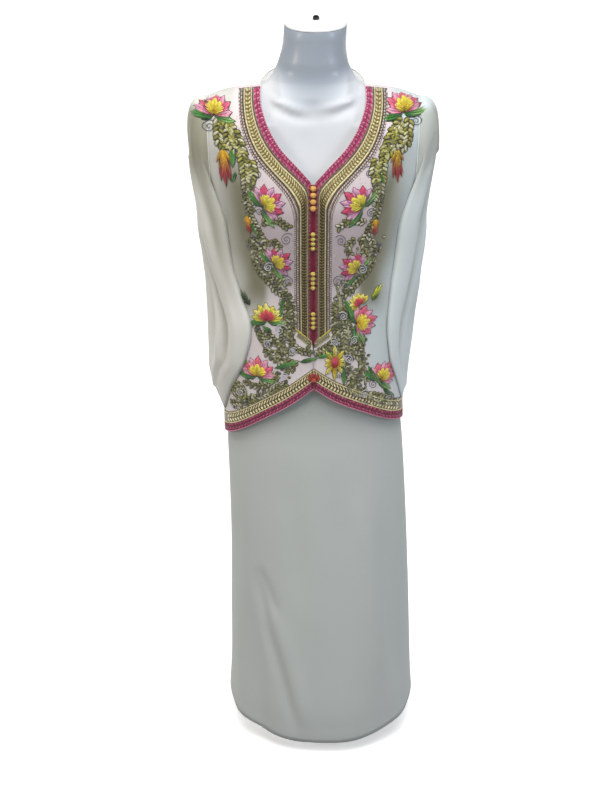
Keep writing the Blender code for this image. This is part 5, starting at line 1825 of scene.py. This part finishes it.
def draw_lotus(work, lotus):
    """An open lotus: pointed petals in two rows round a bright heart, over two boat-shaped leaves."""
    at = np.array(seen_at(lotus.u, lotus.v))
    size, upright = lotus.size, facing(lotus.turn)
    outer, heart = LOTUS_DYES[lotus.dyes]
    for way in (-1, 1) if lotus.leaves else ():
        foot, angle, bend = at - 0.02 * size, upright + way * LEAF_SPREAD, -way * LEAF_BEND
        leaf_dyes = (GREENS[0], GREENS[2 if way < 0 else 1])
        petal(work, foot, angle, 0.50 * size, 0.15 * size, leaf_dyes, 0.0003, bend=bend)
        rib = GREENS[3]
        work.blade(foot, angle, 0.46 * size, 0.018 * size, 0.0008, rib, rib, bend=bend, base=0.0019)
    for k, share in enumerate(np.linspace(-1, 1, OUTER_COUNT)):
        angle, bend = upright + LOTUS_SPREAD * share, -0.25 * share
        reach = (OUTER_LONG - 0.05 * abs(share)) * size * RANDOM.uniform(0.94, 1.05)
        dyes = (outer[0], outer[3]) if k % 2 else (outer[2], outer[1])
        petal(work, at, angle, reach, OUTER_WIDE * size, dyes, 0.0007 + 0.0003 * (k % 2), bend=bend)
    for share in np.linspace(-0.8, 0.8, INNER_COUNT):
        dyes = (outer[0] * 0.8, outer[2])
        petal(work, at, upright + LOTUS_SPREAD * share, INNER_LONG * size, INNER_WIDE * size, dyes, 0.0016)
    for share in HEART_PETALS:
        angle, reach = upright + LOTUS_SPREAD * share, (HEART_LONG - 0.06 * abs(share)) * size
        base = 0.0024 + 0.0003 * (1 - abs(share))
        petal(work, at, angle, reach, HEART_WIDE * size, heart, base, 0.0014, point=0.42)


Leaf = namedtuple("Leaf", "u v u_tip v_tip width dye")
LEAVES = [
    Leaf(232, 150, 233, 167, 0.0110, 1), Leaf(236, 172, 233, 182, 0.0060, 0),
    Leaf(257, 190, 273, 216, 0.0080, 3), Leaf(250, 222, 258, 236, 0.0060, 0),
    Leaf(275, 368, 299, 361, 0.0095, 0), Leaf(318, 358, 334, 352, 0.0070, 1),
    Leaf(300, 362, 318, 358, 0.0075, 3), Leaf(343, 366, 344, 385, 0.0080, 0),
    Leaf(344, 299, 356, 322, 0.0085, 1), Leaf(357, 330, 365, 343, 0.0080, 2),
    Leaf(368, 366, 381, 385, 0.0085, 0), Leaf(383, 389, 393, 395, 0.0060, 3),
    Leaf(397, 150, 396, 168, 0.0100, 1), Leaf(379, 172, 384, 184, 0.0060, 0),
    Leaf(371, 190, 357, 216, 0.0080, 3), Leaf(284, 298, 280, 318, 0.0070, 0),
    Leaf(243, 356, 248, 366, 0.0050, 1), Leaf(272, 331, 262, 326, 0.0060, 0),
    Leaf(213, 104, 203, 100, 0.0050, 1),
]
Bud = namedtuple("Bud", "u v u_tip v_tip width dyes")
BUDS = [
    Bud(223, 149, 227, 186, 0.0200, "ember"), Bud(397, 150, 398, 182, 0.0170, "ember"),
    Bud(247, 216, 251, 234, 0.0130, "ember"), Bud(376, 219, 374, 236, 0.0120, "ember"),
    Bud(250, 305, 241, 289, 0.0060, "green"), Bud(372, 300, 381, 283, 0.0090, "lime"),
]
# Shares of a bud's length between which its dye turns
BUD_TURNS = (0.05, 0.42)
BUD_DYES = {
    "ember": dye_lot("#e6b422", "#a3203a"),
    "green": dye_lot("#35452f", "#56684a"),
    "lime": dye_lot("#5f7f32", "#d8d84a"),
}


def run_of(shape):
    """Where a leaf or bud starts on the plane, its length and its angle."""
    at, tip = (np.array(seen_at(*place)) for place in ((shape.u, shape.v), (shape.u_tip, shape.v_tip)))
    run = tip - at
    return at, float(np.hypot(*run)), math.atan2(run[1], run[0])


def draw_leaf(work, leaf):
    """One satin leaf with a dark midrib."""
    at, length, angle = run_of(leaf)
    root = GREENS[leaf.dye]
    petal(work, at, angle, length, leaf.width, (root, fade(root, GREENS[2], 0.5)), 0.0010)
    work.blade(at, angle, length * 0.95, 0.0011, 0.0007, GREENS[3], GREENS[3], base=0.0026)


# A bud's folded petals, as (lean, share of its length, base), and how far its sepals lean
BUD_PETALS = ((-0.16, 0.86, 0.0008), (0.16, 0.86, 0.0008), (0.0, 1.0, 0.0008 + 0.0009))
SEPAL_LEANS = (-0.55, 0.55)


def draw_bud(work, bud):
    """A closed bud: three folded petals with a pair of small sepals."""
    at, length, angle = run_of(bud)
    root, end = BUD_DYES[bud.dyes]
    for lean, share, base in BUD_PETALS:
        petal(work, at, angle + lean, length * share, bud.width * 0.52, (root, end), base, turns=BUD_TURNS)
    for lean in SEPAL_LEANS:
        petal(work, at, angle + lean, length * 0.42, bud.width * 0.32, (root, fade(root, end, 0.4)), 0.0006)


Curl = namedtuple("Curl", "u v radius way")
CURLS = [
    Curl(209.5, 126.5, 6.6, 1), Curl(257, 174, 7.0, 1), Curl(259.4, 211, 5.0, -1), Curl(286.5, 239.5, 6.4, 1),
    Curl(288.5, 281.5, 5.2, -1), Curl(337.7, 281.5, 5.6, 1), Curl(373, 384, 5.0, 1), Curl(390, 396, 4.6, -1),
    Curl(370, 173, 6.6, -1), Curl(416, 121, 5.8, -1), Curl(371, 213, 4.8, 1), Curl(341, 241, 5.8, -1),
    Curl(249, 246, 4.4, -1), Curl(378, 247, 4.2, 1),
]
# Curls stitched over the vines, in brighter thread
RAISED_CURLS = [
    Curl(268.6, 267, 4.6, 1), Curl(362, 269, 5.0, -1), Curl(279.5, 330, 5.6, 1), Curl(348.6, 359, 4.4, -1),
    Curl(268, 344, 4.2, 1), Curl(293, 351, 4.0, 1), Curl(334, 342, 4.2, -1), Curl(354, 340, 4.2, 1),
    Curl(284, 377, 4.0, 1), Curl(364, 394, 4.4, 1), Curl(343, 316, 4.4, -1), Curl(241, 392, 4.2, 1),
]


CURL_TURNS, CURL_STEPS = 1.9, 52
CURL_THREAD = (0.0013, 0.0010)


def draw_curl(work, curl, dye, base):
    """A spiral of fine silver-grey thread, its open end leading on as a tail."""
    turn = np.linspace(0, CURL_TURNS * 2 * math.pi, CURL_STEPS)
    share = turn / turn[-1]
    radius = curl.radius * (0.10 + 0.84 * share + 0.55 * ease(0.84, 1.0, share) * (share - 0.6))
    u = curl.u + curl.way * radius * np.cos(turn)
    v = curl.v + radius * np.sin(turn)
    work.thread(np.stack(seen_at(u, v), 1), *CURL_THREAD, dye, base)


# Courses of the vines
VINES = [
    [(218, 119), (219, 128), (219, 140), (224, 147)],
    [
        (225, 120), (233, 131), (240, 145), (243, 158), (245, 170), (246, 185), (247, 200), (250, 215),
        (256, 226), (262, 239),
    ],
    [(230, 126), (228, 137), (232, 146), (238, 152)],
    [(250, 160), (253, 171), (250, 184), (252, 197)],
    [(262, 223), (275, 220), (287, 227)],
    [
        (256, 238), (254, 252), (258, 268), (268, 280), (277, 291), (288, 298), (293, 309), (293, 325),
        (290, 338), (298, 349), (309, 353),
    ],
    [(266, 238), (262, 250), (264, 262), (272, 272)],
    [(272, 240), (279, 247), (276, 256)],
    [(285, 300), (287, 316), (284, 330), (281, 346)],
    [(284, 349), (277, 361), (293, 366)],
    [(255, 322), (259, 333), (266, 345), (270, 356), (293, 363)],
    [(264, 330), (275, 341), (288, 354)],
    [(278, 377), (265, 385), (255, 386), (247, 382)],
    [(231, 403), (249, 400), (267, 393), (285, 384)],
]
RIGHT_VINES = [
    [(341, 297), (345, 318), (352, 333), (360, 350), (362, 366)],
    [(350, 330), (344, 340), (347, 352), (357, 356)],
    [(362, 366), (356, 380), (362, 392), (378, 396), (396, 402)],
    [(352, 372), (350, 384), (356, 393)],
    [(330, 349), (341, 350), (350, 350)],
    [(318, 352), (328, 346), (336, 338)],
]
# Vines of the left that the right side shares, turned over
SHARED_VINES = 9


def turned_over(paths):
    """Paths of the left side, as the right side has them."""
    return [[(AXIS - u, v) for u, v in path] for path in paths]


def stitched_line(path, step):
    """Places on the plane a step apart along a course in the photograph, and the run at each."""
    line = smooth_path(np.stack(seen_at(*np.array(path, float).T), 1), step)
    return line, np.gradient(line, axis=0)


# How much longer and wider a leaflet's dark outline is
OUTLINE_LONGER, OUTLINE_WIDER = 1.16, 1.62


def leaflet(work, at, lean, length, width, dye, base):
    """A small raised leaf of satin stitch over its dark outline."""
    work.blade(
        at - heading(lean) * length * 0.07, lean, length * OUTLINE_LONGER, width * OUTLINE_WIDER, 0.0008,
        DARK_OLIVE, DARK_OLIVE, base=base,
    )
    work.blade(at, lean, length, width, 0.0012, dye * 0.82, dye, base=base + 0.0005)


def vine_dye(height):
    """Yellow-green near the shoulders, cream and olive below."""
    tints = VINE_TINTS["high" if height > VINE_TURNS else "low"]
    return tints[RANDOM.integers(len(tints))] * RANDOM.uniform(0.85, 1.1)


VINE_STEP, VINE_STEM = 0.0072, (0.0034, 0.0007)
# A vine's leaflets: length, width, the angles at which they stand off, and how much larger the high ones are
LEAFLET_LONG, LEAFLET_WIDE, LEAFLET_LEANS, LARGER = 0.0098, 0.0046, (42, 58), 0.35


def draw_vine(work, path):
    """A dark couched stem with small stacked leaflets down both sides, larger near the shoulders."""
    line, along = stitched_line(path, VINE_STEP)
    work.thread(line, *VINE_STEM, DARK_OLIVE)
    for k, (at, step) in enumerate(zip(line, along)):
        ahead = math.atan2(step[1], step[0])
        larger = 1 + LARGER * float(ease(1.20, 1.30, at[1]))
        for way in (-1, 1):
            lean = ahead + way * math.radians(RANDOM.uniform(*LEAFLET_LEANS))
            leaflet(
                work, at + step * 0.22 * way, lean, LEAFLET_LONG * larger * RANDOM.uniform(0.85, 1.08),
                LEAFLET_WIDE * larger, vine_dye(at[1]), 0.0002 + 0.0002 * (k % 2),
            )


# Where the coil lies, its size, and its rings as (radius as a share of the size, leaflets)
COIL, COIL_SIZE = (238, 390), 0.038
COIL_RINGS = ((0.46, 20), (0.31, 14), (0.16, 8))


def draw_coil(work):
    """A rosette of olive leaflets laid in rings round a knot."""
    middle, size = np.array(seen_at(*COIL)), COIL_SIZE
    for ring, (radius, count) in enumerate(COIL_RINGS):
        for k in range(count):
            turn = 2 * math.pi * (k + 0.5 * ring) / count
            at = middle + size * radius * heading(turn)
            dye = OLIVES[(k + ring) % len(OLIVES)] * RANDOM.uniform(0.8, 1.1)
            leaflet(work, at, turn + 1.75, size * 0.17, size * 0.085, dye, 0.0002)
    work.dome(middle, size * 0.08, 0.0020, OLIVES[1], sides=10)


STAR, STAR_PETALS = (334.7, 362.4), 10
STAR_GOLDS = (dye_lot("#c9a41e", "#f2e87c"), dye_lot("#b88f1c", "#ecdc50"))
STAR_HEART = dye_lot("#b3202e", "#e0566e")


def draw_star(work):
    """The upright flower beside the notch: yellow petals round a red oval heart."""
    middle = np.array(seen_at(*STAR))
    for k in range(STAR_PETALS):
        turn = 2 * math.pi * (k + 0.5) / STAR_PETALS
        reach = 0.0145 + 0.0175 * abs(math.sin(turn)) ** 2
        start, base = middle + 0.004 * heading(turn), 0.0008 + 0.0003 * (k % 2)
        petal(work, start, turn, reach, 0.0088, STAR_GOLDS[k % 2], base)
    for k in range(-2, 3):
        at = middle + [0.0021 * k, -0.0125 + 0.0016 * abs(k)]
        base = 0.0022 + 0.0002 * (2 - abs(k))
        petal(work, at, math.pi / 2, 0.025 - 0.003 * abs(k), 0.0048, STAR_HEART, base, 0.0012)


# Lines that the small loose leaflets and silver rings of the denser ground gather along
FILLS = [
    [(255, 246), (261, 262), (270, 275), (280, 286)], [(262, 246), (268, 262), (278, 276), (287, 292)],
    [(250, 240), (258, 262), (270, 276)], [(283, 300), (289, 330), (290, 352)],
    [(262, 334), (272, 352), (284, 364)], [(262, 384), (276, 374), (292, 372)],
    [(236, 405), (258, 398), (276, 388)], [(247, 168), (249, 190), (251, 212)],
    [(224, 124), (234, 138), (242, 152)], [(300, 352), (306, 348), (312, 352)],
]
RIGHT_FILLS = [
    [(338, 300), (344, 322), (352, 342)], [(344, 344), (360, 358), (366, 378)],
    [(352, 384), (368, 396), (388, 402)], [(330, 352), (342, 346), (352, 350)],
    [(347, 362), (353, 374), (357, 390)],
]
# Lines of the left that the right side shares, turned over
SHARED_FILLS = 9
# Along a line, a ring lies at every eighth step, and nothing lies further off it than the reach
RINGS_IN, FILL_STEP, FILL_REACH = 8, 0.0034, 0.0095
LEAFLETS_STRAY, RINGS_STRAY = 0.0056, 0.0066


def astray(at, spread):
    """A place near another, up to the filling's reach off it."""
    return at + np.clip(RANDOM.normal(0, spread, 2), -FILL_REACH, FILL_REACH)


def draw_filling(work, path):
    """Loose leaflets and small rings scattered along a line, where the ground is stitched most densely."""
    line, along = stitched_line(path, FILL_STEP)
    turn = np.linspace(0, 2 * math.pi, 11)
    circle = np.stack([np.cos(turn), np.sin(turn)], 1)
    for k, (at, step) in enumerate(zip(line, along)):
        ahead = math.atan2(step[1], step[0])
        for _ in range(2):
            place = astray(at, LEAFLETS_STRAY)
            lean, length = ahead + RANDOM.normal(0, 1.1), RANDOM.uniform(0.0056, 0.0082)
            leaflet(work, place, lean, length, 0.0036, vine_dye(at[1]), 0.0001)
        if k % RINGS_IN == 0:
            ring = astray(at, RINGS_STRAY) + RANDOM.uniform(0.0022, 0.0036) * circle
            work.thread(ring, 0.0012, 0.0010, PALE_SILVER if k % 2 else SILVER, base=0.0012)


END_GOLDS = dye_lot("#d9c93a", "#b9a85a")
END_STITCHES = 9


def draw_ends(work, side):
    """Slanting gold stitches that close the foot of the braid and run in to the strip's point."""
    for k in range(END_STITCHES):
        share = k / (END_STITCHES - 1)
        at = np.array(seen_at(AXIS / 2 + side * (14.5 - 12.5 * share), 333.0 + 9.5 * share))
        dye = fade(*END_GOLDS, share) * RANDOM.uniform(0.85, 1.1)
        lean = math.atan2(1.0, side * 0.55)
        work.blade(at, lean, 0.0105 - 0.003 * share, 0.0030, 0.0014, dye * 0.7, dye, base=0.0012)
        dark = OLIVES[4] * RANDOM.uniform(0.7, 1.0)
        work.blade(at - [0.0, 0.0015], -lean, 0.0085, 0.0032, 0.0012, dark, OLIVES[1], base=0.0006)


FAN_FOOT, FAN_BLADES = dyed("#7e1f22"), dye_lot("#a8342c", "#c4502c")


def draw_notch_fan(work, side):
    """Half of the ember-red fan stitched over the notch of the hem."""
    notch = HEM["left"][0].height
    foot = np.array([by_height(OVERLAY_ROWS, "centre", notch) + side * 0.0009, notch + 0.018])
    for k in range(4):
        lean = math.pi / 2 - side * (0.14 + 0.30 * k)
        dyes = (FAN_FOOT, FAN_BLADES[k % 2])
        petal(work, foot, lean, 0.0175 - 0.0012 * k, 0.0052, dyes, 0.0019 + 0.0002 * k, 0.0012)


# Silver specks scattered over the backed ground: (u, v) boxes of the left side and how many lie in each
SPECKS = [
    ((236, 92), (246, 150), 16), ((250, 160), (268, 192), 26), ((268, 190), (288, 212), 18),
    ((280, 232), (296, 262), 22), ((286, 288), (297, 340), 20), ((270, 366), (304, 382), 20),
    ((246, 384), (290, 394), 16),
]
PALE_SPECKS = 0.6


def draw_specks(work, over):
    """Specks over the ground of one half, turned over for the right one."""
    for (u_low, v_low), (u_high, v_high), count in SPECKS:
        u, v = RANDOM.uniform(u_low, u_high, count), RANDOM.uniform(v_low, v_high, count)
        for x, z in np.stack(seen_at(AXIS - u if over else u, v), 1):
            dye = PALE_SILVER if RANDOM.random() < PALE_SPECKS else SILVER
            work.dome((x, z), 0.0007, 0.0005, dye, sides=5)


def make_embroidery():
    """All stitched flowers, leaves, vines, curls and specks of both front halves."""
    vines = {"left": VINES, "right": turned_over(VINES[:SHARED_VINES]) + RIGHT_VINES}
    fills = {"left": FILLS, "right": turned_over(FILLS[:SHARED_FILLS]) + RIGHT_FILLS}
    for side, name in SIDES:
        fine, stems, flowers = Work(), Work(), Work()

        def here(shapes, side=side):
            return [shape for shape in shapes if (shape.u < AXIS / 2) == (side < 0)]

        for curls, dye, base in ((CURLS, SILVER, 0.0001), (RAISED_CURLS, PALE_SILVER, 0.0021)):
            for curl in here(curls):
                draw_curl(fine, curl, dye, base)
        draw_specks(fine, side > 0)
        for path in vines[name]:
            draw_vine(stems, path)
        for shapes, draw in ((LEAVES, draw_leaf), (BUDS, draw_bud), (LOTUSES, draw_lotus)):
            for shape in here(shapes):
                draw(flowers, shape)
        for path in fills[name]:
            draw_filling(stems, path)
        draw_ends(stems, side)
        draw_notch_fan(flowers, side)
        if side < 0:
            draw_coil(stems)
        else:
            draw_star(flowers)
        sew(f"silver_curls_{name}", fine, front_plane, SILK, None)
        sew(f"olive_vines_{name}", stems, front_plane, SILK, None)
        sew(f"lotus_flowers_{name}", flowers, front_plane, SILK, None)


FLOOR_WIDTH = 80.0


def make_floor():
    """The pale floor under the stand."""
    bpy.ops.mesh.primitive_plane_add(size=FLOOR_WIDTH, location=(0, 0, 0))
    floor = bpy.context.object
    floor.name = "studio_floor"
    floor.data.materials.append(make_floor_finish("matt_studio_floor", FLOOR_GLOW))
    # The floor throws no light back up, as the dark floor of a shop does not
    floor.visible_diffuse = False


BACKDROP_RADIUS, BACKDROP_HEIGHT, BACKDROP_SIDES = 38.0, 60.0, 96


def make_backdrop():
    """A pale cloth hung in a ring round the floor, far off."""
    angle = np.linspace(0, 2 * math.pi, BACKDROP_SIDES, endpoint=False)
    ring = np.stack([BACKDROP_RADIUS * np.cos(angle), BACKDROP_RADIUS * np.sin(angle)], 1)
    points = [(*at, z) for z in (0.0, BACKDROP_HEIGHT) for at in ring.tolist()]
    mesh = bpy.data.meshes.new("studio_backdrop")
    mesh.from_pydata(points, [], wall_faces(2, BACKDROP_SIDES, True))
    mesh.materials.append(make_floor_finish("matt_studio_backdrop", BACKDROP_GLOW))
    backdrop = put("studio_backdrop", mesh)
    # It is there to be seen, and neither lights the dress nor shows in its gloss
    backdrop.visible_diffuse = backdrop.visible_glossy = False
    backdrop.visible_shadow = backdrop.visible_transmission = False


Lamp = namedtuple("Lamp", "x y z width power aim_z tint glossy")
LAMPS = [
    Lamp(0.0, -1.1, 3.1, 1.5, 26.0, 1.2, "#ffffff", False),
    Lamp(-2.2, -1.9, 2.2, 0.9, 16.0, 1.0, "#fff2de", True),
    Lamp(2.2, -2.0, 2.1, 0.9, 15.0, 1.0, "#deecff", True),
    Lamp(-2.3, 1.6, 2.3, 0.8, 17.0, 1.0, "#fff6ea", False),
]
SUN_STRENGTH = 1.55
SUN_SOFTNESS = math.radians(48)
SUN_LEANS = math.radians(9)
SKY_STRENGTH = 0.38


def make_light():
    """A broad soft light straight overhead, two small ones for the form's gloss, and a dim pale room."""
    overhead = bpy.data.lights.new("overhead_light", "SUN")
    overhead.energy, overhead.angle = SUN_STRENGTH, SUN_SOFTNESS
    holder = put("overhead_light", overhead)
    holder.location = (0, 0, 4)
    holder.rotation_euler = (SUN_LEANS, 0, 0)
    holder.visible_glossy = False
    for number, lamp in enumerate(LAMPS, 1):
        light = bpy.data.lights.new(f"gloss_light_{number}", "AREA")
        light.shape, light.size, light.energy, light.color = "DISK", lamp.width, lamp.power, dyed(lamp.tint)
        holder = put(light.name, light)
        holder.location = (lamp.x, lamp.y, lamp.z)
        aim = Vector((0, 0, lamp.aim_z)) - holder.location
        holder.rotation_euler = aim.to_track_quat("-Z", "Y").to_euler()
        # Only the two before the form show in its gloss; the others would flare on its shoulders
        holder.visible_glossy = lamp.glossy
    world = bpy.data.worlds.new("pale_room")
    world.use_nodes = True
    feed(world.node_tree, world.node_tree.nodes["Background"], {"Color": "#f4f6f8", "Strength": SKY_STRENGTH})
    bpy.context.scene.world = world


def make_camera():
    """The photograph's viewing angle. The sensor's width lies along the frame's longer side."""
    camera = bpy.data.cameras.new("camera")
    camera.sensor_width = SENSOR
    camera.lens = FOCAL / PHOTO_HIGH * SENSOR
    holder = put("camera", camera)
    holder.location = EYE
    holder.rotation_euler = (math.pi / 2 - PITCH, 0, 0)
    bpy.context.scene.camera = holder


make_form()
make_dress()
make_overlay()
make_sleeves()
make_trims()
make_closure()
make_hems()
make_embroidery()
make_floor()
make_backdrop()
make_light()
make_camera()
bpy.context.scene.view_settings.view_transform = "Standard"
